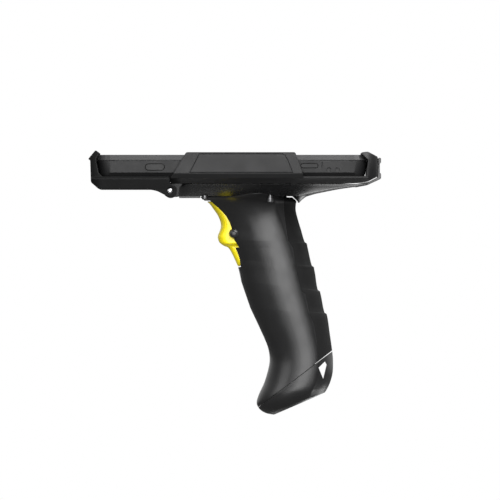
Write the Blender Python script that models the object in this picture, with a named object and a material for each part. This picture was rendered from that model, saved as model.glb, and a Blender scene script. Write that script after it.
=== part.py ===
"""Handheld data collector: a rugged touch terminal clipped into a pistol-grip cradle.

Frame: +X points to the rear end of the terminal, +Z up, the trigger faces -X.
The origin is the middle of the hand grip, in the mirror plane of the object.
All sizes below are in millimetres; MM turns them into Blender's metres.
"""
import math

import bpy
from mathutils import Matrix, Vector

MM = 0.001
GAP = 0.3             # between neighbouring solids
RUNNING = 0.08        # radial clearance of a shaft in its hole
ROUND = 16            # sides of a small round piece
CORNER_STEPS = 4      # facets on a rounded corner in plan
FAR = 60.0            # half width of a tool that cuts right across

# Terminal: the touch computer lying screen up in the cradle
TERMINAL_FRONT = -111.0
TERMINAL_REAR = 49.1
TERMINAL_HALF = 38.0
TERMINAL_CORNER = 8.0
TERMINAL_BASE = 70.2
HOUSING_TOP = 82.1
BEZEL_WIDEST = 82.9
TERMINAL_TOP = 85.75
GLASS_TOP = 85.6
GLASS_BOTTOM = 84.5
# z, inset of the ends, inset of the sides
HOUSING_OUTSIDE = ((TERMINAL_BASE, 4.2, 4.0), (73.0, 1.9, 2.6), (75.3, 1.3, 0.8), (HOUSING_TOP, 0.15, 0.1))
HOUSING_INSIDE = ((HOUSING_TOP, 2.2, 2.1), (75.3, 3.3, 2.8), (72.0, 5.2, 4.6))
BEZEL_LOOP = ((82.4, 0.1, 0.1), (BEZEL_WIDEST, 0.0, 0.0), (TERMINAL_TOP, 1.4, 1.4),
              (TERMINAL_TOP, 4.6, 3.3), (84.2, 4.6, 3.3), (84.2, 8.0, 5.0), (82.4, 8.0, 5.0))
# x range, middle height, height
SCAN_KEY = ((-82.1, -71.0), 78.5, 3.5)
REAR_KEY = ((9.6, 19.6), 79.3, 2.3)
STRAP_HOLES = ((26.2, 76.9), (31.1, 76.9))
CARD_SLOT_X = 21.9
CAMERA_X = -96.0

# Cradle: upper frame, lower shell and the hinged front arm
HINGE_X = -67.6
HINGE_Z = 64.5
HINGE_PIN_R = 1.5
EAR_R = 4.0
LUG_Y = (30.0, 36.0)
SEAM_Z = 68.9         # underside of the upper frame
SEAM_X = -67.4        # front end of the upper frame
RIM_Z = 73.0
ARM_TOP_Z = 87.3
FLOOR_TOP = 69.85
LIP_INSIDE_Y = 35.8
# z, half width
SIDE_ARM_WIDTHS = ((66.0, 34.0), (SEAM_Z, 36.8), (71.9, 40.2), (74.85, 42.0), (82.1, 41.6),
                   (84.7, 41.0), (ARM_TOP_Z, 39.9), (89.0, 38.8))
RIM_WIDTHS = ((66.0, 34.0), (SEAM_Z, 36.8), (72.2, 40.6), (74.0, 39.0))
HOOK_WIDTHS = ((66.0, 34.0), (SEAM_Z, 36.8), (73.0, 39.2), (83.0, 39.0), (89.0, 36.5))
LATCH_WIDTHS = ((60.0, 39.6), (65.4, 40.4), (71.6, 41.8), (RIM_Z, 40.5), (82.6, 40.2), (89.0, 37.6))
# z, front end, rear end, half width
SHELL_OUTSIDE = ((61.5, -63.3, 12.5, 23.0), (63.5, -62.9, 21.4, 27.5), (65.8, -62.6, 33.3, 31.5),
                 (67.7, -62.0, 46.8, 34.3), (68.6, -61.2, 50.5, 35.8))
SHELL_INSIDE = ((68.6, -57.0, 46.0, 33.6), (65.8, -59.4, 31.0, 29.4), (63.6, -60.4, 18.0, 25.2))
NECK = ((57.6, 8.0, 8.8, 9.0), (58.4, 7.8, 9.5, 13.0), (59.8, 6.4, 11.0, 17.0), (61.3, 4.9, 13.2, 20.5),
        (62.6, 3.6, 17.5, 22.5), (64.0, 2.4, 21.0, 24.0))
SUBFLOOR = ((-54.0, 30.0), (-28.0, 28.0), (66.4, 69.2))
SCREW_R = 1.25
SCREW_HEAD_R = 1.8
SCREW_HEAD_HEIGHT = 2.6
SHELL_SCREW = (-47.1, 21.5, 59.5)      # x, y, underside of the head
HANDLE_SCREW = (-8.4, 23.0, 57.7)
SCREW_NOTCH_R = 2.3
SCREW_TIP_Z = 68.2

# Handle: stations from the top down: front point, back point, half thickness, ledge on the backstrap
HANDLE_STATIONS = (
    ((-30.0, 65.2), (0.6, 65.2), 28.6, 0.0), ((-44.0, 62.8), (2.6, 62.8), 26.8, 0.0),
    ((-49.6, 61.0), (4.4, 61.0), 24.2, 0.0), ((-47.9, 59.4), (7.0, 58.6), 21.4, 0.0),
    ((-46.2, 57.2), (6.8, 56.8), 19.2, 0.0), ((-42.4, 53.6), (6.7, 53.2), 17.8, 0.0),
    ((-38.8, 49.4), (7.9, 48.0), 17.0, 0.0), ((-36.2, 43.9), (10.0, 41.0), 16.8, 0.0),
    ((-34.4, 36.0), (12.0, 34.4), 17.0, 0.0), ((-33.6, 34.8), (12.3, 33.5), 17.0, 0.9),
    ((-32.2, 32.8), (12.8, 31.8), 17.0, 0.8), ((-30.8, 30.6), (13.3, 30.0), 17.0, 0.7),
    ((-28.4, 24.4), (16.2, 20.5), 17.2, 0.0), ((-28.2, 22.6), (16.4, 19.6), 17.2, 1.0),
    ((-27.9, 20.6), (16.8, 18.0), 17.2, 0.9), ((-27.1, 18.0), (17.5, 15.6), 17.2, 0.7),
    ((-25.8, 11.9), (19.7, 6.2), 17.4, 0.0), ((-25.5, 10.6), (20.0, 5.1), 17.4, 1.1),
    ((-20.5, -4.0), (23.7, -7.4), 17.3, 0.0), ((-20.2, -4.8), (23.9, -8.3), 17.3, 1.2),
    ((-14.5, -17.0), (26.4, -20.0), 17.0, 0.5), ((-10.0, -27.5), (28.3, -30.0), 16.9, 0.0),
    ((-8.8, -34.2), (28.8, -36.0), 17.1, 0.0), ((-9.4, -40.0), (28.6, -43.0), 17.5, 0.0),
    ((-12.0, -49.0), (27.2, -48.5), 17.8, 0.0), ((-15.2, -56.0), (25.9, -51.6), 17.6, 0.0),
    ((-16.5, -61.0), (25.0, -53.2), 16.6, 0.0), ((-14.8, -64.6), (24.3, -54.3), 15.2, 0.0),
    ((-11.1, -67.0), (23.8, -54.9), 13.8, 0.0), ((-6.3, -68.0), (23.3, -55.1), 12.0, 0.0))
# Half section: share of the way from front to back, share of the half thickness
HALF_SECTION = ((0.0, 0.0), (0.015, 0.22), (0.07, 0.47), (0.17, 0.70), (0.32, 0.89), (0.48, 0.98),
                (0.60, 1.0), (0.69, 0.985), (0.765, 0.945), (0.80, 0.86), (0.90, 0.55), (0.965, 0.24),
                (1.0, 0.0))
LEDGE_SHARE = (0.78, 0.84)     # where on the section a ledge starts and reaches its full height
CHEEK_BOSS = (-29.8, 39.4)
BACKSTRAP_TOP = 60.8
BACKSTRAP_EDGE = ((-0.3, 52.7), (2.1, 35.1), (5.0, 30.8), (6.8, 18.1), (10.1, 4.8),
                  (12.4, 3.5), (14.9, -8.8), (17.3, -13.7), (19.3, -25.5), (18.9, -34.0))
BACKSTRAP_SKIN = 2.5
GRIP_WALL = 5.0
CAP_SEAM_BACK = Vector((28.3, 0.0, -30.2))
CAP_SEAM_FRONT = Vector((-15.9, 0.0, -63.8))
CAP_SLOT = 0.5
LANYARD_HOLE = ((23.9, -36.4), (20.2, -40.0), (23.0, -46.8), (25.0, -38.3))
GRIP_SCREWS = ((-6.0, 46.0), (-1.0, 12.0), (9.0, -20.0))

# Trigger
PIVOT_X = -37.5
PIVOT_Z = 57.0
PIVOT_PIN_R = 1.5
TRIGGER_HALF = 9.0
TRIGGER_CROWN = 1.8
TRIGGER_TIP_HALF = 6.0         # half width below TRIGGER_STEP_Z
TRIGGER_STEP_Z = 31.0
TRIGGER_HUB_R = 3.2
TRIGGER_SIDES = 20
TRIGGER_SQUARENESS = 4.5
# Stations from the top down: front point, back point, half width
TRIGGER_STATIONS = (
    ((-45.5, 58.4), (-36.2, 58.5), 8.2), ((-45.7, 58.0), (-35.0, 58.1), TRIGGER_HALF),
    ((-44.4, 56.9), (-34.5, 57.0), TRIGGER_HALF), ((-42.2, 53.9), (-34.0, 55.0), TRIGGER_HALF),
    ((-39.6, 50.1), (-31.0, 51.4), TRIGGER_HALF), ((-37.9, 45.6), (-27.2, 46.0), TRIGGER_HALF),
    ((-38.0, 42.2), (-25.4, 42.2), TRIGGER_HALF), ((-39.6, 37.7), (-24.3, 38.2), TRIGGER_HALF),
    ((-38.8, 34.4), (-23.8, 35.2), TRIGGER_HALF), ((-37.5, 33.1), (-23.6, 33.6), 8.7),
    ((-35.8, 32.0), (-23.4, 32.1), TRIGGER_TIP_HALF), ((-33.3, 30.9), (-23.3, 29.6), TRIGGER_TIP_HALF),
    ((-31.1, 27.4), (-23.7, 26.6), TRIGGER_TIP_HALF), ((-29.3, 23.6), (-24.2, 23.6), TRIGGER_TIP_HALF),
    ((-27.8, 20.4), (-24.7, 21.6), 5.8), ((-27.0, 19.8), (-25.1, 20.9), 5.2))
TRIGGER_SLOT = ((-54.0, 58.7), (-41.6, 58.9), (-40.6, 60.5), (-34.2, 60.5), (-33.4, 55.8), (-26.9, 49.0),
                (-22.2, 41.0), (-20.0, TRIGGER_STEP_Z), (-54.0, TRIGGER_STEP_Z))
TRIGGER_TIP_SLOT = ((-54.0, 33.0), (-20.0, 33.0), (-20.2, 22.5), (-22.5, 20.3), (-28.0, 19.2), (-54.0, 19.2))

COLOURS = {
    "terminal_plastic": ((0.030, 0.030, 0.032), 0.45, 0.0),
    "terminal_trim": ((0.090, 0.090, 0.095), 0.40, 0.0),
    "cradle_plastic": ((0.028, 0.028, 0.029), 0.55, 0.0),
    "cradle_shell_plastic": ((0.040, 0.040, 0.042), 0.25, 0.0),
    "grip_plastic": ((0.045, 0.045, 0.046), 0.50, 0.0),
    "rubber": ((0.025, 0.025, 0.026), 0.75, 0.0),
    "trigger_plastic": ((0.95, 0.80, 0.02), 0.35, 0.0),
    "glass": ((0.010, 0.012, 0.014), 0.06, 0.0),
    "steel": ((0.55, 0.55, 0.56), 0.30, 1.0),
    "gold_contact": ((0.80, 0.60, 0.25), 0.30, 1.0),
    "circuit_board": ((0.03, 0.16, 0.07), 0.50, 0.0),
    "battery_wrap": ((0.12, 0.12, 0.14), 0.50, 0.0),
    "spring_steel": ((0.45, 0.45, 0.46), 0.35, 1.0),
}


# ---------------------------------------------------------------- building blocks

def clear_scene():
    for old in list(bpy.data.objects):
        bpy.data.objects.remove(old, do_unlink=True)


def material(slot):
    if slot in bpy.data.materials:
        return bpy.data.materials[slot]
    colour, roughness, metallic = COLOURS[slot]
    made = bpy.data.materials.new(slot)
    made.use_nodes = True
    shader = made.node_tree.nodes["Principled BSDF"]
    shader.inputs["Base Color"].default_value = (*colour, 1.0)
    shader.inputs["Roughness"].default_value = roughness
    shader.inputs["Metallic"].default_value = metallic
    return made


def solid(name, points, faces):
    """A mesh object from points in millimetres."""
    mesh = bpy.data.meshes.new(name)
    mesh.from_pydata([Vector(point) * MM for point in points], [], faces)
    mesh.validate()
    made = bpy.data.objects.new(name, mesh)
    bpy.context.scene.collection.objects.link(made)
    face_outwards(made)
    return made


def face_outwards(made):
    """Turn a closed mesh right side out when its signed volume is negative."""
    mesh = made.data
    mesh.calc_loop_triangles()
    volume = 0.0
    for triangle in mesh.loop_triangles:
        a, b, c = (mesh.vertices[index].co for index in triangle.vertices)
        volume += a.dot(b.cross(c))
    if volume < 0:
        mesh.flip_normals()


def loft(name, rings, looped=False):
    """A skin over rings of equal length, capped at both ends or joined into a loop."""
    count = len(rings[0])
    points = [point for ring in rings for point in ring]
    faces = []
    for row in range(len(rings) if looped else len(rings) - 1):
        start = row * count
        after = ((row + 1) % len(rings)) * count
        for index in range(count):
            following = (index + 1) % count
            faces.append((start + index, start + following, after + following, after + index))
    if not looped:
        faces.append(tuple(reversed(range(count))))
        last = (len(rings) - 1) * count
        faces.append(tuple(range(last, last + count)))
    return solid(name, points, faces)


def plan_ring(front, rear, half, radius, z, steps=CORNER_STEPS):
    """A rounded rectangle in plan, counter-clockwise."""
    corners = ((rear - radius, half - radius, 0.0), (front + radius, half - radius, 90.0),
               (front + radius, radius - half, 180.0), (rear - radius, radius - half, 270.0))
    ring = []
    for x, y, start in corners:
        for step in range(steps + 1):
            angle = math.radians(start + 90.0 * step / steps)
            ring.append((x + radius * math.cos(angle), y + radius * math.sin(angle), z))
    return ring


def slab(name, x_range, y_range, z_range):
    """A rectangular block."""
    outline = [(x_range[0], z_range[0]), (x_range[1], z_range[0]),
               (x_range[1], z_range[1]), (x_range[0], z_range[1])]
    return prism(name, outline, *y_range)


def prism(name, outline, y_from, y_to):
    """An outline in the side view (x, z), extruded across the object."""
    return loft(name, [[(x, y, z) for x, z in outline] for y in (y_from, y_to)])


def circle(radius, sides=ROUND):
    return [(radius * math.cos(math.tau * (step + 0.5) / sides),
             radius * math.sin(math.tau * (step + 0.5) / sides)) for step in range(sides)]


def rod_y(name, x, z, radius, y_from, y_to):
    return prism(name, [(x + u, z + v) for u, v in circle(radius)], y_from, y_to)


def turned_z(name, x, y, profile):
    """A stack of circles about a vertical axis; the profile holds (radius, z)."""
    return loft(name, [[(x + u, y + v, z) for u, v in circle(radius)] for radius, z in profile])


def turned_y(name, x, z, profile):
    """A stack of circles about an axis across the object; the profile holds (radius, y)."""
    return loft(name, [[(x + u, y, z + v) for u, v in circle(radius)] for radius, y in profile])


def stadium(x_range, z_mid, height, grow=0.0, steps=5):
    """A bar with round ends, in the side view."""
    radius = height / 2 + grow
    ends = ((x_range[1] + grow - radius, -90.0), (x_range[0] - grow + radius, 90.0))
    outline = []
    for x, start in ends:
        for step in range(steps + 1):
            angle = math.radians(start + 180.0 * step / steps)
            outline.append((x + radius * math.cos(angle), z_mid + radius * math.sin(angle)))
    return outline


def arc(x, z, radius, start, end, steps):
    """Points on an arc in the side view, from start to end in degrees."""
    angles = [math.radians(start + (end - start) * step / steps) for step in range(steps + 1)]
    return [(x + radius * math.cos(angle), z + radius * math.sin(angle)) for angle in angles]


def combine(target, tool, operation, keep_tool=False):
    """Apply a Boolean to the target's mesh and take the tool away."""
    modifier = target.modifiers.new("combine", "BOOLEAN")
    modifier.operation = operation
    modifier.solver = "EXACT"
    modifier.object = tool
    graph = bpy.context.evaluated_depsgraph_get()
    result = bpy.data.meshes.new_from_object(target.evaluated_get(graph))
    target.modifiers.clear()
    spent = target.data
    target.data = result
    bpy.data.meshes.remove(spent)
    result.name = target.name
    if not keep_tool:
        bpy.data.objects.remove(tool, do_unlink=True)
    return target


def cut(target, tool, keep_tool=False):
    return combine(target, tool, "DIFFERENCE", keep_tool)


def join(target, tool):
    return combine(target, tool, "UNION")


def meet(target, tool, keep_tool=False):
    return combine(target, tool, "INTERSECT", keep_tool)


def copy_of(source, name):
    made = source.copy()
    made.data = source.data.copy()
    made.name = name
    bpy.context.scene.collection.objects.link(made)
    return made


def finish(made, slot, pivot=None):
    """Give a node its material and shading, and put its origin on its joint's axis."""
    made.data.materials.clear()
    made.data.materials.append(material(slot))
    made.data.shade_smooth()
    made.data.set_sharp_from_angle(angle=math.radians(32.0))
    if pivot is not None:
        place = Vector(pivot) * MM
        made.data.transform(Matrix.Translation(-place))
        made.location = place
    return made


# ---------------------------------------------------------------- terminal

def terminal_ring(z, end_inset, side_inset, grow=0.0):
    radius = max(TERMINAL_CORNER - side_inset, 2.0) + grow
    return plan_ring(TERMINAL_FRONT + end_inset - grow, TERMINAL_REAR - end_inset + grow,
                     TERMINAL_HALF - side_inset + grow, radius, z)


def terminal_clearance(name):
    """The room the terminal needs in the cradle, open upwards between the lips."""
    grow = 0.35
    sections = [(FLOOR_TOP, *HOUSING_OUTSIDE[0][1:]), *HOUSING_OUTSIDE[1:3],
                (BEZEL_WIDEST, 0.0, 0.0), (TERMINAL_TOP + GAP, 1.4, 1.4)]
    made = loft(name, [terminal_ring(*section, grow) for section in sections])
    way_up = loft("way_up", [plan_ring(-109.3, 45.0, LIP_INSIDE_Y, 5.0, z) for z in (85.0, 95.0)])
    return join(made, way_up)


def build_housing():
    rings = [terminal_ring(*section) for section in HOUSING_OUTSIDE + HOUSING_INSIDE]
    housing = loft("terminal_back_housing", rings)
    cut(housing, slab("door_opening", (-62.0, 26.0), (-31.0, 31.0), (60.0, 74.0)))
    cut(housing, turned_z("camera_opening", CAMERA_X, 0.0, ((4.8, 60.0), (4.8, 74.0))))
    cut(housing, slab("scan_opening", (-115.0, -105.0), (-13.0, 13.0), (75.6, 81.4)))
    cut(housing, slab("usb_opening", (44.0, 55.0), (-4.9, 4.9), (74.3, 78.3)))
    for side in (-1, 1):
        for key in (SCAN_KEY, REAR_KEY):
            cut(housing, prism("key_opening", stadium(*key, GAP), side * 33.0, side * 45.0))
        for x, z in STRAP_HOLES:
            cut(housing, rod_y("strap_hole", x, z, 1.3, side * 36.4, side * 45.0))
        slot_x = (CARD_SLOT_X, CARD_SLOT_X + 0.6)
        cut(housing, slab("card_slot", slot_x, (side * 37.0, side * 45.0), (77.9, 81.4)))
    return finish(housing, "terminal_plastic")


def build_terminal():
    build_housing()
    bezel = loft("terminal_bezel", [terminal_ring(*section) for section in BEZEL_LOOP], looped=True)
    finish(bezel, "terminal_trim")
    glass = loft("touch_glass", [terminal_ring(z, 4.9, 3.6) for z in (GLASS_BOTTOM, GLASS_TOP)])
    finish(glass, "glass")
    display = loft("display_module", [terminal_ring(z, 8.3, 5.3) for z in (81.0, GLASS_BOTTOM - GAP)])
    finish(display, "glass")
    finish(slab("main_board", (-88.0, 42.0), (-33.0, 33.0), (79.3, 80.5)), "circuit_board")
    finish(slab("terminal_battery", (-58.0, 22.0), (-29.0, 29.0), (72.4, 78.6)), "battery_wrap")
    door = slab("battery_door", (-61.7, 25.7), (-30.7, 30.7), (TERMINAL_BASE, 71.9))
    finish(door, "terminal_plastic")
    finish(slab("scan_engine", (-105.6, -90.0), (-11.0, 11.0), (73.0, 80.4)), "battery_wrap")
    finish(slab("scan_window", (-109.9, -108.7), (-12.7, 12.7), (75.9, 81.1)), "glass")
    window = turned_z("camera_window", CAMERA_X, 0.0, ((4.5, TERMINAL_BASE), (4.5, 71.6)))
    finish(window, "glass")
    finish(slab("usb_socket", (40.5, 47.2), (-4.6, 4.6), (74.6, 78.0)), "steel")
    build_keys()


def build_keys():
    """Spring-backed side keys: a cap through the wall and a flange behind it."""
    keys = (("scan_key_left", -1, SCAN_KEY, 38.3), ("scan_key_right", 1, SCAN_KEY, 38.3),
            ("volume_key", -1, REAR_KEY, 37.9), ("power_key", 1, REAR_KEY, 37.9))
    for name, side, shape, cap_y in keys:
        key = prism(name, stadium(*shape), side * 34.5, side * cap_y)
        join(key, prism("flange", stadium(*shape, 0.8), side * 34.1, side * 34.9))
        x_range, middle, _ = shape
        finish(key, "rubber", (sum(x_range) / 2, side * 36.0, middle))


# ---------------------------------------------------------------- cradle

def cradle_block(name, widths):
    """Solid outer form of the cradle, rounded in plan, cut to length afterwards."""
    return loft(name, [plan_ring(-116.4, 55.2, half, 9.0, z) for z, half in widths])


def cradle_slice(name, widths, outline):
    """The part of the cradle's outer form inside a side view outline."""
    return meet(cradle_block(name, widths), prism("outline", outline, -FAR, FAR))


def side_arm_outline():
    """Side view of the frame under the side arms, and the arms themselves."""
    return [(SEAM_X, SEAM_Z), (SEAM_X, 72.1), (-65.4, 74.85), (-58.1, ARM_TOP_Z), (6.3, ARM_TOP_Z),
            (10.7, 74.85), (11.2, 73.2), (12.2, SEAM_Z)]


def rim_outline():
    """Side view of the low rim behind the side arms."""
    return [(5.0, SEAM_Z), (5.0, 73.2), (49.2, 73.2), (49.9, 70.4), (46.3, 69.6), (33.5, SEAM_Z)]


def rear_hook_outline():
    """Side view of the fixed hook over the terminal's rear end."""
    return [(48.2, 70.0), (48.2, 74.0), (49.3, 82.8), (46.6, 85.4), (45.0, 86.8), (46.0, 87.3),
            (49.1, 87.7), (55.1, 84.6), (54.8, 72.9), (49.9, 70.4), (48.9, 70.2)]


def lug_outline():
    """Hinge lug under the frame, a round eye with a web up to the frame."""
    eye = arc(HINGE_X, HINGE_Z, EAR_R, 180.0, 300.0, 6)
    return [(SEAM_X, 69.3), *eye, (-62.6, 61.3), (-62.0, 66.4), (-60.5, 68.0), (-60.5, 69.3)]


def shell_form(name, grow):
    """Outer form of the lower shell's tray, grown for clearance."""
    rings = [plan_ring(front - grow, rear + grow, half + grow / 2, 7.0, z - grow)
             for z, front, rear, half in SHELL_OUTSIDE[:-1]]
    _, front, rear, half = SHELL_OUTSIDE[-1]
    rings.append(plan_ring(front - grow, rear + grow, half + grow, 7.0, SEAM_Z - 0.02))
    return loft(name, rings)


def build_frame():
    frame = cradle_slice("cradle_frame", SIDE_ARM_WIDTHS, side_arm_outline())
    join(frame, cradle_slice("rim", RIM_WIDTHS, rim_outline()))
    join(frame, cradle_slice("hook", HOOK_WIDTHS, rear_hook_outline()))
    for side in (-1, 1):
        join(frame, prism("lug", lug_outline(), side * LUG_Y[0], side * LUG_Y[1]))
    cut(frame, shell_form("shell_room", GAP))
    join(frame, slab("subfloor", *SUBFLOOR))
    cut(frame, terminal_clearance("room"))
    cut(frame, slab("seat_recess", (-50.3, 18.3), (-24.3, 24.3), (68.7, 75.0)))
    cut(frame, slab("contact_recess", (22.7, 29.3), (-7.3, 7.3), (60.0, 75.0)))
    cut(frame, slab("plug_access", (45.0, 60.0), (-9.0, 9.0), (73.4, 81.4)))
    for side in (-1, 1):
        cut(frame, prism("pad_recess", pad_outline(GAP), side * 39.4, side * 50.0))
        for x, y, _ in (SHELL_SCREW, HANDLE_SCREW):
            hole = ((SCREW_R + RUNNING, 60.0), (SCREW_R + RUNNING, SCREW_TIP_Z + 0.2))
            cut(frame, turned_z("screw_hole", x, side * y, hole))
        hole_r = HINGE_PIN_R + RUNNING
        cut(frame, rod_y("pin_hole", HINGE_X, HINGE_Z, hole_r, side * 28.0, side * 38.0))
    return finish(frame, "cradle_plastic")


def pad_outline(grow=0.0):
    """Side pad let into the outside of each side arm."""
    return [(-55.8 - grow, 75.4 - grow), (4.6 + grow, 75.4 - grow), (1.9 + grow, 82.1),
            (0.1 + grow, 85.5), (-1.7, 86.2 + grow), (-50.4, 86.2 + grow), (-51.9 - grow, 82.8)]


def build_side_pads():
    block = cradle_block("pad_block", SIDE_ARM_WIDTHS)
    for name, side in (("side_pad_left", -1), ("side_pad_right", 1)):
        pad = prism(name, pad_outline(), side * 39.7, side * 50.0)
        finish(meet(pad, block, keep_tool=True), "cradle_plastic")
    bpy.data.objects.remove(block, do_unlink=True)


def latch_outline():
    """Side view of the front arm: hook, rail, and the ear around the hinge."""
    ear = arc(HINGE_X, HINGE_Z, EAR_R, 215.0, 400.0, 10)
    return [(-107.6, RIM_Z), (-109.6, 75.0), (-111.4, BEZEL_WIDEST), (-109.9, 86.0), (-109.3, 86.8),
            (-111.5, 88.6), (-116.0, 83.2), (-114.7, 82.6), (-114.3, 69.6), (-109.5, 65.4),
            (-79.0, 65.4), (-75.5, 64.6), *ear, (-67.9, 69.2), (-67.9, 72.2), (-68.8, RIM_Z)]


def build_latch_arm():
    arm = cradle_slice("front_latch_arm", LATCH_WIDTHS, latch_outline())
    cut(arm, terminal_clearance("room"))
    cut(arm, slab("scan_opening", (-120.0, -106.0), (-17.0, 17.0), (72.2, 95.0)))
    cut(arm, loft("camera_opening", [plan_ring(-106.5, -84.0, 14.0, 4.0, z) for z in (60.0, 75.0)]))
    # The arm reaches below its floor only in the two side rails.
    under = [(-104.0, 67.6), (-66.0, 67.6), (-60.0, 67.6), (-60.0, 55.0), (-104.0, 55.0)]
    cut(arm, prism("underside", under, -36.3, 36.3))
    for side in (-1, 1):
        room = rod_y("lug_room", HINGE_X, HINGE_Z, EAR_R + 0.8, side * 29.6, side * 36.3)
        cut(arm, room)
        cut(arm, rod_y("pin_hole", HINGE_X, HINGE_Z, HINGE_PIN_R + RUNNING, side * 36.0, side * 45.0))
    return finish(arm, "cradle_plastic", (HINGE_X, 0.0, HINGE_Z))


def rear_wrap_outline():
    """Rear end of the lower shell, turned up behind the frame."""
    return [(42.0, 66.7), (48.9, 68.0), (55.8, 71.1), (57.0, 71.8), (57.0, 74.7), (56.3, 75.2),
            (56.3, 80.7), (57.0, 81.2), (57.0, 83.9), (55.6, 84.2), (55.5, 83.0), (55.5, 80.0),
            (55.1, 72.6), (50.1, 70.05), (46.3, 69.25), (42.0, 68.6)]


def build_lower_shell():
    outside = [plan_ring(front, rear, half, 7.0, z) for z, front, rear, half in SHELL_OUTSIDE]
    inside = [plan_ring(front, rear, half, 5.0, z) for z, front, rear, half in SHELL_INSIDE]
    shell = loft("cradle_lower_shell", outside + inside)
    join(shell, prism("rear_wrap", rear_wrap_outline(), -29.0, 29.0))
    join(shell, loft("neck", [plan_ring(front, rear, half, (rear - front) * 0.45, z)
                              for z, front, rear, half in NECK]))
    join(shell, slab("front_boss", (-62.3, -49.9), (-15.0, 15.0), (60.4, 62.6)))
    cut(shell, slab("plug_access", (50.0, 60.0), (-9.0, 9.0), (73.4, 81.4)))
    cut(shell, slab("tongue_room", (-47.2 - GAP, 1.5 + GAP), (-6.0 - GAP, 6.0 + GAP), (60.0, 62.0 + GAP)))
    for side in (-1, 1):
        for x, y, _ in (SHELL_SCREW, HANDLE_SCREW):
            hole = ((SCREW_R + RUNNING, 55.0), (SCREW_R + RUNNING, 66.0))
            cut(shell, turned_z("screw_hole", x, side * y, hole))
        x, y, _ = SHELL_SCREW
        cut(shell, turned_z("scallop", x, side * y, ((SCREW_NOTCH_R, 55.0), (SCREW_NOTCH_R, 62.2))))
    return finish(shell, "cradle_shell_plastic")


def screw(name, x, y, head_z, tip_z):
    """A pan-head screw driven upwards."""
    head_top = head_z + SCREW_HEAD_HEIGHT
    head = ((SCREW_HEAD_R - 0.4, head_z), (SCREW_HEAD_R, head_z + 0.4), (SCREW_HEAD_R, head_top),
            (SCREW_R, head_top), (SCREW_R, tip_z - 0.6), (SCREW_R - 0.5, tip_z))
    return finish(turned_z(name, x, y, head), "steel")


def build_cradle():
    build_frame()
    build_side_pads()
    build_latch_arm()
    build_lower_shell()
    finish(slab("seat_pad", (-50.0, 18.0), (-24.0, 24.0), (69.0, 69.9)), "rubber")
    block = slab("contact_block", (23.0, 29.0), (-7.0, 7.0), (66.6, 69.5))
    for number, y in enumerate((-4.0, 0.0, 4.0), start=1):
        cut(block, turned_z("pin_hole", 26.0, y, ((0.68, 67.2), (0.68, 75.0))))
        pin = turned_z(f"contact_pin_{number}", 26.0, y, ((0.6, 67.5), (0.6, 69.6), (0.3, 69.9)))
        finish(pin, "gold_contact")
    finish(block, "cradle_plastic")
    for side_name, side in (("left", -1), ("right", 1)):
        profile = ((HINGE_PIN_R, side * 29.6), (HINGE_PIN_R, side * 40.3), (HINGE_PIN_R - 0.4, side * 40.7))
        finish(turned_y(f"hinge_pin_{side_name}", HINGE_X, HINGE_Z, profile), "steel")
        x, y, head_z = SHELL_SCREW
        screw(f"shell_screw_{side_name}", x, side * y, head_z, SCREW_TIP_Z)
        x, y, head_z = HANDLE_SCREW
        screw(f"handle_screw_{side_name}", x, side * y, head_z, SCREW_TIP_Z)


# ---------------------------------------------------------------- handle

def handle_ring(front, back, half, ledge):
    """A section through a front and a back point, parallel to Y."""
    start = Vector((front[0], 0.0, front[1]))
    chord = Vector((back[0], 0.0, back[1])) - start
    first, full = LEDGE_SHARE
    left = []
    for along, out in HALF_SECTION:
        raised = ledge * min(max((along - first) / (full - first), 0.0), 1.0)
        left.append(start + chord * along + chord.normalized() * raised - Vector((0.0, half * out, 0.0)))
    right = [Vector((point.x, -point.y, point.z)) for point in reversed(left[1:-1])]
    return left + right


def handle_form(name, front_inset=0.0, back_inset=0.0, side_inset=0.0, stations=HANDLE_STATIONS):
    """The whole handle, or a smaller copy of it set in from the surface."""
    rings = []
    for front, back, half, ledge in stations:
        start = Vector(front)
        end = Vector(back)
        chord = (end - start).normalized()
        start += chord * front_inset
        end -= chord * back_inset
        rings.append(handle_ring(start, end, half - side_inset, ledge))
    return loft(name, rings)


def cap_block(name, offset, below):
    """A half-space tool bounded by the slanted seam of the base cap."""
    along = (CAP_SEAM_FRONT - CAP_SEAM_BACK).normalized()
    down = Vector((-along.z, 0.0, along.x))
    origin = (CAP_SEAM_FRONT + CAP_SEAM_BACK) / 2 + down * offset
    depth = down * (200.0 if below else -200.0)
    corners = (origin - along * 200, origin + along * 200, origin + along * 200 + depth,
               origin - along * 200 + depth)
    return prism(name, [(corner.x, corner.z) for corner in corners], -FAR, FAR)


def seam_prism(name, along_range, down_range, half):
    """A block square to the cap's seam: along from its middle, down into the cap."""
    along = (CAP_SEAM_FRONT - CAP_SEAM_BACK).normalized()
    down = Vector((-along.z, 0.0, along.x))
    middle = (CAP_SEAM_FRONT + CAP_SEAM_BACK) / 2
    corners = [middle + along * a + down * d for a, d in (
        (along_range[0], down_range[0]), (along_range[1], down_range[0]),
        (along_range[1], down_range[1]), (along_range[0], down_range[1]))]
    return prism(name, [(corner.x, corner.z) for corner in corners], -half, half)


def backstrap_region(name, top, grow=0.0):
    edge = [(x - grow, z) for x, z in BACKSTRAP_EDGE]
    outline = [(edge[0][0], top), *edge[:-1], (edge[-1][0], -60.0), (60.0, -60.0), (60.0, top)]
    return prism(name, outline, -FAR, FAR)


def build_backstrap():
    strap = meet(handle_form("backstrap"), backstrap_region("region", BACKSTRAP_TOP))
    cut(strap, handle_form("core", 1.0, BACKSTRAP_SKIN, BACKSTRAP_SKIN))
    cut(strap, cap_block("below_seam", -CAP_SLOT / 2, below=True))
    return finish(strap, "rubber")


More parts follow.
